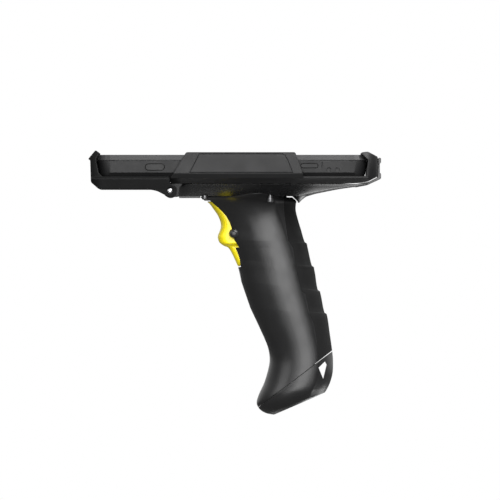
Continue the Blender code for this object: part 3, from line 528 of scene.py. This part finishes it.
def rear_wrap_outline():
    """Rear end of the lower shell, turned up behind the frame."""
    return [(42.0, 66.7), (48.9, 68.0), (55.8, 71.1), (57.0, 71.8), (57.0, 74.7), (56.3, 75.2),
            (56.3, 80.7), (57.0, 81.2), (57.0, 83.9), (55.6, 84.2), (55.5, 83.0), (55.5, 80.0),
            (55.1, 72.6), (50.1, 70.05), (46.3, 69.25), (42.0, 68.6)]


def build_lower_shell():
    """The tray under the frame, with its neck over the handle and its tail behind the frame."""
    outside = [plan_ring(front, rear, half, 7.0, z)
               for z, front, rear, half in smooth_path(SHELL_OUTSIDE, SHELL_STEPS)]
    inside = [plan_ring(front, rear, half, 5.0, z) for z, front, rear, half in SHELL_INSIDE]
    shell = loft("cradle_lower_shell", outside + inside)
    join(shell, prism("rear_wrap", soften(rear_wrap_outline(), 0.5), -29.0, 29.0))
    join(shell, loft("neck", [plan_ring(front, rear, half, (rear - front) * 0.45, z)
                              for z, front, rear, half in smooth_path(NECK, NECK_STEPS)]))
    join(shell, slab("front_boss", (-62.3, -49.9), (-15.0, 15.0), (60.4, 62.6)))
    cut(shell, slab("plug_access", (50.0, 60.0), (-9.0, 9.0), (73.4, 81.4)))
    cut(shell, slab("tongue_room", (-47.2 - GAP, 1.5 + GAP), (-6.0 - GAP, 6.0 + GAP), (60.0, 62.0 + GAP)))
    for side in (-1, 1):
        for x, y, _ in (SHELL_SCREW, HANDLE_SCREW):
            hole = ((SCREW_R + RUNNING, 55.0), (SCREW_R + RUNNING, 66.0))
            cut(shell, turned_z("screw_hole", x, side * y, hole))
        x, y, _ = SHELL_SCREW
        cut(shell, turned_z("scallop", x, side * y, ((SCREW_NOTCH_R, 55.0), (SCREW_NOTCH_R, 62.2))))
    return shell


def hexagon(radius):
    """Corners of a hexagon socket."""
    return [(radius * math.cos(math.radians(60 * step)), radius * math.sin(math.radians(60 * step)))
            for step in range(6)]


def build_screw(name, x, y, head_z):
    """A pan-head screw driven upwards, with a rounded head and a hexagon socket."""
    head_top = head_z + SCREW_HEAD_HEIGHT
    head = [(SCREW_HEAD_R - 0.6, head_z), (SCREW_HEAD_R - 0.3, head_z + 0.1),
            (SCREW_HEAD_R - 0.1, head_z + 0.3),
            (SCREW_HEAD_R, head_z + 0.6), (SCREW_HEAD_R, head_top), (SCREW_R, head_top),
            (SCREW_R, SCREW_TIP_Z - 0.6), (SCREW_R - 0.5, SCREW_TIP_Z)]
    made = turned_z(name, x, y, head)
    socket = [[(x + u, y + v, z) for u, v in hexagon(1.0)] for z in (head_z - 1.0, head_z + 1.0)]
    return cut(made, loft("socket", socket))


def build_grip_screw(name, x, z):
    """A pan-head screw driven in from the right side, with a hexagon socket."""
    profile = ((SCREW_R - 0.4, -9.6), (SCREW_R, -9.0), (SCREW_R, 12.0), (SCREW_HEAD_R, 12.0),
               (SCREW_HEAD_R, 13.3), (SCREW_HEAD_R - 0.2, 13.8), (SCREW_HEAD_R - 0.6, 14.0))
    made = turned_y(name, x, z, profile)
    socket = [[(x + u, y, z + v) for u, v in hexagon(1.0)] for y in (13.0, 15.0)]
    return cut(made, loft("socket", socket))


def build_hinge_pin(name, side):
    """A hinge pin with a domed end."""
    profile = [(HINGE_PIN_R, side * 29.6), (HINGE_PIN_R, side * 40.2), (HINGE_PIN_R - 0.12, side * 40.5),
               (HINGE_PIN_R - 0.45, side * 40.75), (0.5, side * 40.9)]
    return turned_y(name, HINGE_X, HINGE_Z, profile)


# ---------------------------------------------------------------- handle

def handle_ring(front, back, half, ledge):
    """A section through a front and a back point, parallel to Y."""
    start = Vector((front[0], 0.0, front[1]))
    chord = Vector((back[0], 0.0, back[1])) - start
    first, full = LEDGE_SHARE
    left = []
    for along, out in smooth_path(HALF_SECTION, SECTION_STEPS):
        raised = ledge * min(max((along - first) / (full - first), 0.0), 1.0)
        left.append(start + chord * along + chord.normalized() * raised - Vector((0.0, half * out, 0.0)))
    right = [Vector((point.x, -point.y, point.z)) for point in reversed(left[1:-1])]
    return left + right


def handle_form(name, front_inset=0.0, back_inset=0.0, side_inset=0.0, stations=HANDLE_STATIONS):
    """The whole handle, or a smaller copy of it set in from the surface."""
    rings = []
    rows = [(*front, *back, half, ledge) for front, back, half, ledge in stations]
    for row in smooth_path(rows, STATION_STEPS):
        start = Vector(row[0:2])
        end = Vector(row[2:4])
        chord = (end - start).normalized()
        start += chord * front_inset
        end -= chord * back_inset
        rings.append(handle_ring(start, end, row[4] - side_inset, row[5]))
    return loft(name, rings)


def cap_block(name, offset, below):
    """A half-space tool bounded by the slanted seam of the base cap."""
    along = (CAP_SEAM_FRONT - CAP_SEAM_BACK).normalized()
    down = Vector((-along.z, 0.0, along.x))
    origin = (CAP_SEAM_FRONT + CAP_SEAM_BACK) / 2 + down * offset
    depth = down * (200.0 if below else -200.0)
    corners = (origin - along * 200, origin + along * 200, origin + along * 200 + depth,
               origin - along * 200 + depth)
    return prism(name, [(corner.x, corner.z) for corner in corners], -FAR, FAR)


def seam_prism(name, along_range, down_range, half):
    """A block square to the cap's seam: along from its middle, down into the cap."""
    along = (CAP_SEAM_FRONT - CAP_SEAM_BACK).normalized()
    down = Vector((-along.z, 0.0, along.x))
    middle = (CAP_SEAM_FRONT + CAP_SEAM_BACK) / 2
    corners = [middle + along * a + down * d for a, d in (
        (along_range[0], down_range[0]), (along_range[1], down_range[0]),
        (along_range[1], down_range[1]), (along_range[0], down_range[1]))]
    return prism(name, [(corner.x, corner.z) for corner in corners], -half, half)


def backstrap_region(name, top, grow=0.0):
    """Everything behind the backstrap's front edge, up to the given height."""
    edge = [(x - grow, z) for x, z in BACKSTRAP_EDGE]
    outline = [(edge[0][0], top), *edge[:-1], (edge[-1][0], -60.0), (60.0, -60.0), (60.0, top)]
    return prism(name, outline, -FAR, FAR)


def build_backstrap():
    """The shingled rubber skin over the handle's back."""
    strap = meet(handle_form("backstrap"), backstrap_region("region", BACKSTRAP_TOP))
    cut(strap, handle_form("core", 1.0, BACKSTRAP_SKIN, BACKSTRAP_SKIN))
    cut(strap, cap_block("below_seam", -CAP_SLOT / 2, below=True))
    return strap


def build_grip_shells():
    """The left and the right half of the hollow handle."""
    boss = ((0.7, -12.2), (1.7, -12.0), (2.5, -11.5), (3.0, -10.4), (3.0, 10.4), (2.5, 11.5), (1.7, 12.0),
            (0.7, 12.2))
    grip = join(handle_form("grip"), turned_y("cheek_boss", *CHEEK_BOSS, boss))
    x, y, _ = HANDLE_SCREW
    for side in (-1, 1):
        notch = ((SCREW_NOTCH_R, 51.0), (SCREW_NOTCH_R, 60.4),
                 (SCREW_R + RUNNING, 60.4), (SCREW_R + RUNNING, 68.0))
        cut(grip, turned_z("screw_notch", x, side * y, notch))
    cut(grip, shell_form("shell_room", FINE_GAP))
    join(grip, slab("tongue", (-47.2, 1.5), (-6.0, 6.0), (60.9, 62.0)))
    skin = backstrap_region("skin", 80.0, SEAM)
    cut(skin, handle_form("core", 1.0, BACKSTRAP_SKIN + GAP, BACKSTRAP_SKIN + GAP))
    cut(grip, skin)
    cut(grip, handle_form("cavity", GRIP_WALL, GRIP_WALL + 1.0, GRIP_WALL, HANDLE_STATIONS[5:-3]))
    for x, z in GRIP_SCREWS:
        join(grip, rod_y("boss", x, z, 3.4, -13.5, 13.5))
    cut(grip, cap_block("below_seam", -SEAM, below=True))
    cut(grip, seam_prism("slit", SLIT_ALONG, (-CAP_SLOT / 2, 1.5), FAR))
    for name, along, depth, half in (("socket", SPIGOT_ALONG, 6.0, 9.0), ("lip_socket", LIP_ALONG, 1.2, 5.0)):
        cut(grip, seam_prism(name, (along[0] - GAP, along[1] + GAP), (-depth - GAP, 1.5), half + GAP))
    cut(grip, prism("trigger_slot", TRIGGER_SLOT, -TRIGGER_HALF - GAP, TRIGGER_HALF + GAP))
    cut(grip, prism("tip_slot", TRIGGER_TIP_SLOT, -TRIGGER_TIP_HALF - GAP, TRIGGER_TIP_HALF + GAP))
    cut(grip, rod_y("pivot_hole", PIVOT_X, PIVOT_Z, PIVOT_PIN_R + RUNNING, -10.9, 10.9))
    for x, z in GRIP_SCREWS:
        bore = ((SCREW_R + RUNNING, -10.0), (SCREW_R + RUNNING, 11.6), (2.1, 11.6), (2.1, 30.0))
        cut(grip, turned_y("screw_bore", x, z, bore))
    left = copy_of(grip, "grip_shell_left")
    grip.name = "grip_shell_right"
    cut(grip, slab("left_side", (-90.0, 90.0), (-FAR, GAP / 2), (-90.0, 90.0)))
    cut(left, slab("right_side", (-90.0, 90.0), (-GAP / 2, FAR), (-90.0, 90.0)))
    return left, grip


def build_base_cap():
    """The slanted end cap, with the spigot and the lip that fit into the shells."""
    cap = meet(handle_form("base_cap"), cap_block("below_seam", SEAM, below=True))
    cut(cap, seam_prism("slit", SLIT_ALONG, (-1.5, CAP_SLOT / 2), FAR))
    join(cap, seam_prism("lip", LIP_ALONG, (-1.2, 1.5), 5.0))
    join(cap, seam_prism("spigot", SPIGOT_ALONG, (-6.0, 1.5), 9.0))
    cut(cap, seam_prism("hollow", (-7.0, 10.0), (-20.0, 7.0), 6.5))
    cut(cap, prism("lanyard_hole", LANYARD_HOLE, -FAR, FAR))
    return cap


def trigger_ring(front, back, half):
    """A rounded box section between a front and a back point, crowned towards the finger."""
    start = Vector((front[0], 0.0, front[1]))
    chord = Vector((back[0], 0.0, back[1])) - start
    ring = []
    for step in range(TRIGGER_SIDES):
        angle = math.tau * (step + 0.5) / TRIGGER_SIDES
        along = math.copysign(abs(math.cos(angle)) ** (2 / TRIGGER_SQUARENESS), math.cos(angle))
        across = math.copysign(abs(math.sin(angle)) ** (2 / TRIGGER_SQUARENESS), math.sin(angle))
        share = (1.0 + along) / 2
        crown = chord.normalized() * (TRIGGER_CROWN * across * across * (1.0 - share))
        ring.append(start + chord * share + crown + Vector((0.0, half * across, 0.0)))
    return ring


def build_trigger():
    """A crowned finger lever, hung from the pivot pin."""
    rows = [(*front, *back, half) for front, back, half in TRIGGER_STATIONS]
    trigger = loft("trigger", [trigger_ring(row[0:2], row[2:4], row[4])
                               for row in smooth_path(rows, TRIGGER_STEPS)])
    join(trigger, rod_y("hub", PIVOT_X, PIVOT_Z, TRIGGER_HUB_R, -8.8, 8.8))
    cut(trigger, rod_y("pin_hole", PIVOT_X, PIVOT_Z, PIVOT_PIN_R + RUNNING, -20.0, 20.0))
    cut(trigger, rod_y("spring_room", PIVOT_X, PIVOT_Z, TRIGGER_HUB_R + 0.2, -3.0, 3.0))
    return trigger


# ---------------------------------------------------------------- materials

class Graph:
    """Short names for adding and joining a material's nodes."""

    def __init__(self, name):
        self.material = bpy.data.materials.new(name)
        self.material.use_nodes = True
        self.nodes = self.material.node_tree.nodes
        self.links = self.material.node_tree.links
        self.shader = self.nodes["Principled BSDF"]
        self.place = self.nodes.new("ShaderNodeTexCoord").outputs["Object"]

    def add(self, kind, inputs=(), **settings):
        node = self.nodes.new(kind)
        for key, value in settings.items():
            setattr(node, key, value)
        for key, value in dict(inputs).items():
            if isinstance(value, bpy.types.NodeSocket):
                self.links.new(value, node.inputs[key])
            else:
                node.inputs[key].default_value = value
        return node

    def noise(self, size, detail=2.0, roughness=0.5, stretch=None):
        """Noise whose blotches measure about size metres."""
        place = self.place
        if stretch:
            place = self.add("ShaderNodeMapping", {"Vector": place, "Scale": stretch}).outputs["Vector"]
        node = self.add("ShaderNodeTexNoise", {"Vector": place, "Scale": 1.0 / size, "Detail": detail,
                                               "Roughness": roughness})
        return node.outputs["Fac"]

    def ramp(self, value, low, high, out_low, out_high):
        node = self.add("ShaderNodeMapRange", {"Value": value, "From Min": low, "From Max": high,
                                               "To Min": out_low, "To Max": out_high})
        return node.outputs["Result"]

    def blend(self, factor, first, second):
        node = self.add("ShaderNodeMix", data_type="RGBA")
        self.links.new(factor, node.inputs["Factor"])
        for index, colour in ((6, first), (7, second)):
            if isinstance(colour, bpy.types.NodeSocket):
                self.links.new(colour, node.inputs[index])
            else:
                node.inputs[index].default_value = (*colour, 1.0)
        return node.outputs[2]

    def edges(self, radius):
        """A rounded normal, and a mask of the edges that it rounds."""
        bevel = self.add("ShaderNodeBevel", {"Radius": radius}, samples=4)
        plain = self.add("ShaderNodeNewGeometry").outputs["Normal"]
        dot = self.add("ShaderNodeVectorMath", operation="DOT_PRODUCT")
        self.links.new(bevel.outputs["Normal"], dot.inputs[0])
        self.links.new(plain, dot.inputs[1])
        return bevel.outputs["Normal"], self.ramp(dot.outputs["Value"], 0.98, 0.80, 0.0, 1.0)

    def finish(self, colour, roughness, normal):
        self.links.new(colour, self.shader.inputs["Base Color"])
        self.links.new(roughness, self.shader.inputs["Roughness"])
        self.links.new(normal, self.shader.inputs["Normal"])
        return self.material


def moulded(name, colour, roughness, grain=0.0005, depth=0.00003, edge=0.0004, wear_and_highlight=1.6,
            variation=0.10, metallic=0.0, specular=0.5, stretch=None):
    """Moulded plastic or rubber: mottled tone, fine grain, and edges painted lighter, partly as wear and
    partly as a painted highlight.
    """
    graph = Graph(name)
    graph.shader.inputs["Metallic"].default_value = metallic
    graph.shader.inputs["Specular IOR Level"].default_value = specular
    normal, mask = graph.edges(edge)
    dark = tuple(part * (1.0 - variation) for part in colour)
    light = tuple(min(part * (1.0 + variation), 1.0) for part in colour)
    tone = graph.blend(graph.noise(0.018, 3.0), dark, light)
    # Edge lightening: the edge mask times the patch noise lifts the colour by the wear factor. This is partly
    # wear and partly a painted highlight along the edges.
    wear_and_highlight_patches = graph.ramp(graph.noise(0.006, 4.0), 0.40, 0.62, 0.25, 1.0)
    wear_and_highlight_mask = graph.add("ShaderNodeMath", operation="MULTIPLY")
    graph.links.new(mask, wear_and_highlight_mask.inputs[0])
    graph.links.new(wear_and_highlight_patches, wear_and_highlight_mask.inputs[1])
    rubbed_and_highlit = tuple(min(part * wear_and_highlight, 1.0) for part in colour)
    tone = graph.blend(wear_and_highlight_mask.outputs[0], tone, rubbed_and_highlit)
    shine = graph.ramp(graph.noise(0.009, 4.0), 0.3, 0.7, roughness * 0.88, min(roughness * 1.12, 1.0))
    height = graph.noise(grain, 2.0, 0.6, stretch)
    bump = graph.add("ShaderNodeBump", {"Height": height, "Normal": normal, "Distance": depth,
                                        "Strength": 1.0})
    return graph.finish(tone, shine, bump.outputs["Normal"])


def metal(name, colour, roughness, stretch=(1.0, 1.0, 1.0)):
    """Bare metal with fine drawn lines and slight tarnish."""
    return moulded(name, colour, roughness, grain=0.0004, depth=0.000008, edge=0.0002, wear_and_highlight=1.1,
                   variation=0.12, metallic=1.0, stretch=stretch)


def cover_glass(name, colour, screen=None):
    """Dark polished glass with faint smears; screen marks the display's slightly bluer area."""
    graph = Graph(name)
    graph.shader.inputs["Specular IOR Level"].default_value = 0.16
    normal, _ = graph.edges(0.0003)
    tone = graph.blend(graph.noise(0.03, 3.0), tuple(part * 0.8 for part in colour), colour)
    if screen is not None:
        low, high = screen
        centre = (low + high) / 2
        half = (high - low) / 2
        shifted = graph.add("ShaderNodeVectorMath", operation="SUBTRACT")
        graph.links.new(graph.place, shifted.inputs[0])
        shifted.inputs[1].default_value = centre
        size = graph.add("ShaderNodeVectorMath", operation="ABSOLUTE")
        graph.links.new(shifted.outputs[0], size.inputs[0])
        parts = graph.add("ShaderNodeSeparateXYZ", {"Vector": size.outputs[0]})
        across = graph.ramp(parts.outputs["X"], half.x - 0.0001, half.x + 0.0001, 1.0, 0.0)
        along = graph.ramp(parts.outputs["Y"], half.y - 0.0001, half.y + 0.0001, 1.0, 0.0)
        inside = graph.add("ShaderNodeMath", {0: across, 1: along}, operation="MULTIPLY")
        tone = graph.blend(inside.outputs[0], tone, tuple(part * 2.2 for part in colour))
    smear = graph.ramp(graph.noise(0.012, 5.0, 0.6, (1.0, 2.5, 1.0)), 0.45, 0.75, 0.05, 0.16)
    bump = graph.add("ShaderNodeBump", {"Height": graph.noise(0.02, 1.0), "Normal": normal,
                                        "Distance": 0.00001, "Strength": 0.4})
    return graph.finish(tone, smear, bump.outputs["Normal"])


def circuit(name, colour):
    """Solder mask with copper tracks showing faintly through it."""
    graph = Graph(name)
    normal, _ = graph.edges(0.0001)
    tracks = graph.add("ShaderNodeTexBrick", {"Vector": graph.place, "Scale": 220.0, "Mortar Size": 0.06})
    lines = tracks.outputs["Fac"]
    tone = graph.blend(lines, colour, tuple(part * 1.9 for part in colour))
    shine = graph.ramp(graph.noise(0.004), 0.3, 0.7, 0.30, 0.45)
    bump = graph.add("ShaderNodeBump", {"Height": lines, "Normal": normal, "Distance": 0.00003})
    return graph.finish(tone, shine, bump.outputs["Normal"])


def make_materials():
    """Every look by its short name."""
    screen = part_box("display_module")[:2]
    return {
        "terminal": moulded("terminal_housing_plastic", (0.0100, 0.0100, 0.0104), 0.46, 0.0006, 0.00002,
                            specular=0.35),
        "trim": moulded("terminal_rim_plastic", (0.028, 0.028, 0.029), 0.50, 0.0006, 0.00001, edge=0.0002,
                        specular=0.4),
        # The cradle's edges are painted three times lighter: wear, plus a painted highlight on the rims and
        # the rear hook.
        "cradle": moulded("cradle_plastic", (0.0085, 0.0085, 0.0088), 0.50, 0.0006, 0.00003,
                          edge=0.0007, wear_and_highlight=3.0, specular=0.32),
        # The front arm's edges are painted sixteen times lighter: a painted highlight along its rim, besides
        # wear.
        "arm": moulded("front_arm_plastic", (0.0014, 0.0014, 0.0015), 0.55, 0.0006, 0.00003,
                       edge=0.0009, wear_and_highlight=16.0, specular=0.18),
        "shell": moulded("lower_shell_plastic", (0.0090, 0.0090, 0.0094), 0.27, 0.0007, 0.000003),
        "grip": moulded("grip_plastic", (0.0115, 0.0115, 0.0118), 0.33, 0.0005, 0.00002, wear_and_highlight=1.5),
        "strap": moulded("backstrap_rubber", (0.0036, 0.0036, 0.0037), 0.70, 0.0007, 0.00005,
                         specular=0.3),
        "rubber": moulded("key_rubber", (0.0100, 0.0100, 0.0103), 0.50, 0.0006, 0.00003,
                          specular=0.35),
        "trigger": moulded("trigger_plastic", (0.98, 0.80, 0.006), 0.36, 0.0008, 0.00001, wear_and_highlight=1.05,
                           variation=0.03),
        "screw": metal("screw_steel", (0.20, 0.20, 0.205), 0.42),
        "steel": metal("steel", (0.55, 0.55, 0.56), 0.34),
        "spring": metal("spring_wire", (0.50, 0.50, 0.52), 0.35, (1.0, 9.0, 1.0)),
        "gold": metal("contact_gold", (0.83, 0.60, 0.24), 0.25),
        "glass": cover_glass("cover_glass", (0.006, 0.0065, 0.0075), screen),
        "window": cover_glass("window_glass", (0.020, 0.004, 0.005)),
        "lens": cover_glass("camera_glass", (0.008, 0.010, 0.016)),
        "board": circuit("circuit_board", (0.020, 0.110, 0.045)),
        "module": moulded("module_wrap", (0.060, 0.060, 0.070), 0.50, 0.0009, 0.00003),
    }


# ---------------------------------------------------------------- pieces

NODE_LOOKS = {
    "battery_door": "terminal", "terminal_bezel": "trim", "touch_glass": "glass",
    "display_module": "lens", "scan_window": "window", "camera_window": "lens", "main_board": "board",
    "switch_board": "board", "terminal_battery": "module", "scan_engine": "module",
    "trigger_switch": "module", "usb_socket": "steel", "seat_pad": "rubber", "scan_key_left": "rubber",
    "scan_key_right": "rubber", "volume_key": "rubber", "power_key": "rubber",
    "contact_block": "cradle", "contact_pin_1": "gold", "contact_pin_2": "gold",
    "contact_pin_3": "gold", "trigger_pivot_pin": "steel", "trigger_spring": "spring",
}


def dress_nodes(looks):
    """Give each carried-over CAD node its material."""
    for name, look in NODE_LOOKS.items():
        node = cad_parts[name]
        node.data.materials.clear()
        node.data.materials.append(looks[look])
        node.data.shade_smooth()
        node.data.set_sharp_from_angle(angle=math.radians(28.0))


def settle(piece, node, body, look):
    """Put a detailed piece in a CAD node's place."""
    piece.name = node + "_detail"
    piece.data.materials.clear()
    piece.data.materials.append(look)
    piece.data.shade_smooth()
    piece.data.set_sharp_from_angle(angle=math.radians(30.0))
    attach(piece, body)
    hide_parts(node)


# ---------------------------------------------------------------- stage

def add_camera():
    """Level side view from the object's left, with a very long lens."""
    data = bpy.data.cameras.new("camera")
    data.sensor_width = 36.0
    data.lens = data.sensor_width * VIEW_DISTANCE / VIEW_WIDTH
    data.clip_end = 50.0
    camera = bpy.data.objects.new("camera", data)
    camera.location = (VIEW_CENTRE[0], -VIEW_DISTANCE, VIEW_CENTRE[1])
    camera.rotation_euler = (math.radians(90.0), 0.0, 0.0)
    bpy.context.scene.collection.objects.link(camera)
    bpy.context.scene.camera = camera


def add_floor():
    """A pale sheet, toned down for the light that it throws back at the object."""
    mesh = bpy.data.meshes.new("floor")
    far = FLOOR_HALF
    mesh.from_pydata([(-far, -far, FLOOR_Z), (far, -far, FLOOR_Z), (far, far, FLOOR_Z), (-far, far, FLOOR_Z)],
                     [], [(0, 1, 2, 3)])
    floor = bpy.data.objects.new("floor", mesh)
    bpy.context.scene.collection.objects.link(floor)
    graph = Graph("floor_paper")
    paper = graph.blend(graph.noise(0.2), (0.93, 0.93, 0.93), (0.96, 0.96, 0.96))
    seen = graph.add("ShaderNodeLightPath").outputs["Is Camera Ray"]
    tone = graph.blend(seen, (FLOOR_BOUNCE, FLOOR_BOUNCE, FLOOR_BOUNCE), paper)
    shine = graph.ramp(graph.noise(0.1), 0.0, 1.0, 0.7, 0.8)
    bump = graph.add("ShaderNodeBump", {"Height": graph.noise(0.001), "Distance": 0.00002})
    mesh.materials.append(graph.finish(tone, shine, bump.outputs["Normal"]))


def add_soft_light(name, place, target, size, power):
    """A rectangular area light at a place, turned towards its target."""
    data = bpy.data.lights.new(name, "AREA")
    data.shape = "RECTANGLE"
    data.size, data.size_y = size
    data.energy = power
    light = bpy.data.objects.new(name, data)
    light.location = place
    aim = Vector(target) - Vector(place)
    light.rotation_euler = aim.to_track_quat("-Z", "Y").to_euler()
    bpy.context.scene.collection.objects.link(light)


def add_world():
    """White to the camera; as light, bright behind and overhead, dim on the camera's side."""
    world = bpy.data.worlds.new("studio")
    bpy.context.scene.world = world
    world.use_nodes = True
    nodes, links = world.node_tree.nodes, world.node_tree.links
    nodes.clear()
    coordinates = nodes.new("ShaderNodeTexCoord")
    facing = nodes.new("ShaderNodeVectorMath")
    facing.operation = "DOT_PRODUCT"
    links.new(coordinates.outputs["Generated"], facing.inputs[0])
    facing.inputs[1].default_value = WORLD_AXIS
    ramp = nodes.new("ShaderNodeValToRGB")
    elements = ramp.color_ramp.elements
    elements[0].position, elements[0].color = WORLD_TONES[0][0], (*[WORLD_TONES[0][1]] * 3, 1.0)
    elements[1].position, elements[1].color = WORLD_TONES[-1][0], (*[WORLD_TONES[-1][1]] * 3, 1.0)
    for position, tone in WORLD_TONES[1:-1]:
        elements.new(position).color = (tone, tone, tone, 1.0)
    rise = nodes.new("ShaderNodeMapRange")
    rise.inputs["From Min"].default_value = -1.0
    links.new(facing.outputs["Value"], rise.inputs["Value"])
    links.new(rise.outputs["Result"], ramp.inputs[0])
    as_light = nodes.new("ShaderNodeBackground")
    links.new(ramp.outputs[0], as_light.inputs["Color"])
    as_backdrop = nodes.new("ShaderNodeBackground")
    as_backdrop.inputs["Color"].default_value = (1.0, 1.0, 1.0, 1.0)
    seen = nodes.new("ShaderNodeLightPath")
    mix = nodes.new("ShaderNodeMixShader")
    links.new(seen.outputs["Is Camera Ray"], mix.inputs[0])
    links.new(as_light.outputs[0], mix.inputs[1])
    links.new(as_backdrop.outputs[0], mix.inputs[2])
    links.new(mix.outputs[0], nodes.new("ShaderNodeOutputWorld").inputs[0])


def light_stage():
    """The world and the lamps."""
    bpy.context.scene.view_settings.view_transform = "Standard"
    add_world()
    for light in LIGHTS:
        add_soft_light(*light)


def main():
    """Dress the CAD nodes, put the detailed pieces in place and set the stage."""
    looks = make_materials()
    dress_nodes(looks)
    body = "cradle_and_grip"
    settle(build_housing(), "terminal_back_housing", body, looks["terminal"])
    settle(build_frame(), "cradle_frame", body, looks["cradle"])
    for node, pad in zip(("side_pad_left", "side_pad_right"), build_side_pads()):
        settle(pad, node, body, looks["cradle"])
    settle(build_lower_shell(), "cradle_lower_shell", body, looks["shell"])
    settle(build_latch_arm(), "front_latch_arm", "latch", looks["arm"])
    for side_name, side in (("left", -1), ("right", 1)):
        pin = f"hinge_pin_{side_name}"
        settle(build_hinge_pin(pin, side), pin, body, looks["steel"])
        for kind, (x, y, head_z) in (("shell", SHELL_SCREW), ("handle", HANDLE_SCREW)):
            node = f"{kind}_screw_{side_name}"
            settle(build_screw(node, x, side * y, head_z), node, body, looks["screw"])
    for number, (x, z) in enumerate(GRIP_SCREWS, start=1):
        node = f"grip_screw_{number}"
        settle(build_grip_screw(node, x, z), node, body, looks["screw"])
    settle(build_backstrap(), "backstrap", body, looks["strap"])
    left, right = build_grip_shells()
    settle(left, "grip_shell_left", body, looks["grip"])
    settle(right, "grip_shell_right", body, looks["grip"])
    settle(build_base_cap(), "base_cap", body, looks["grip"])
    settle(build_trigger(), "trigger", "trigger_lever", looks["trigger"])
    add_floor()
    add_camera()
    light_stage()


main()
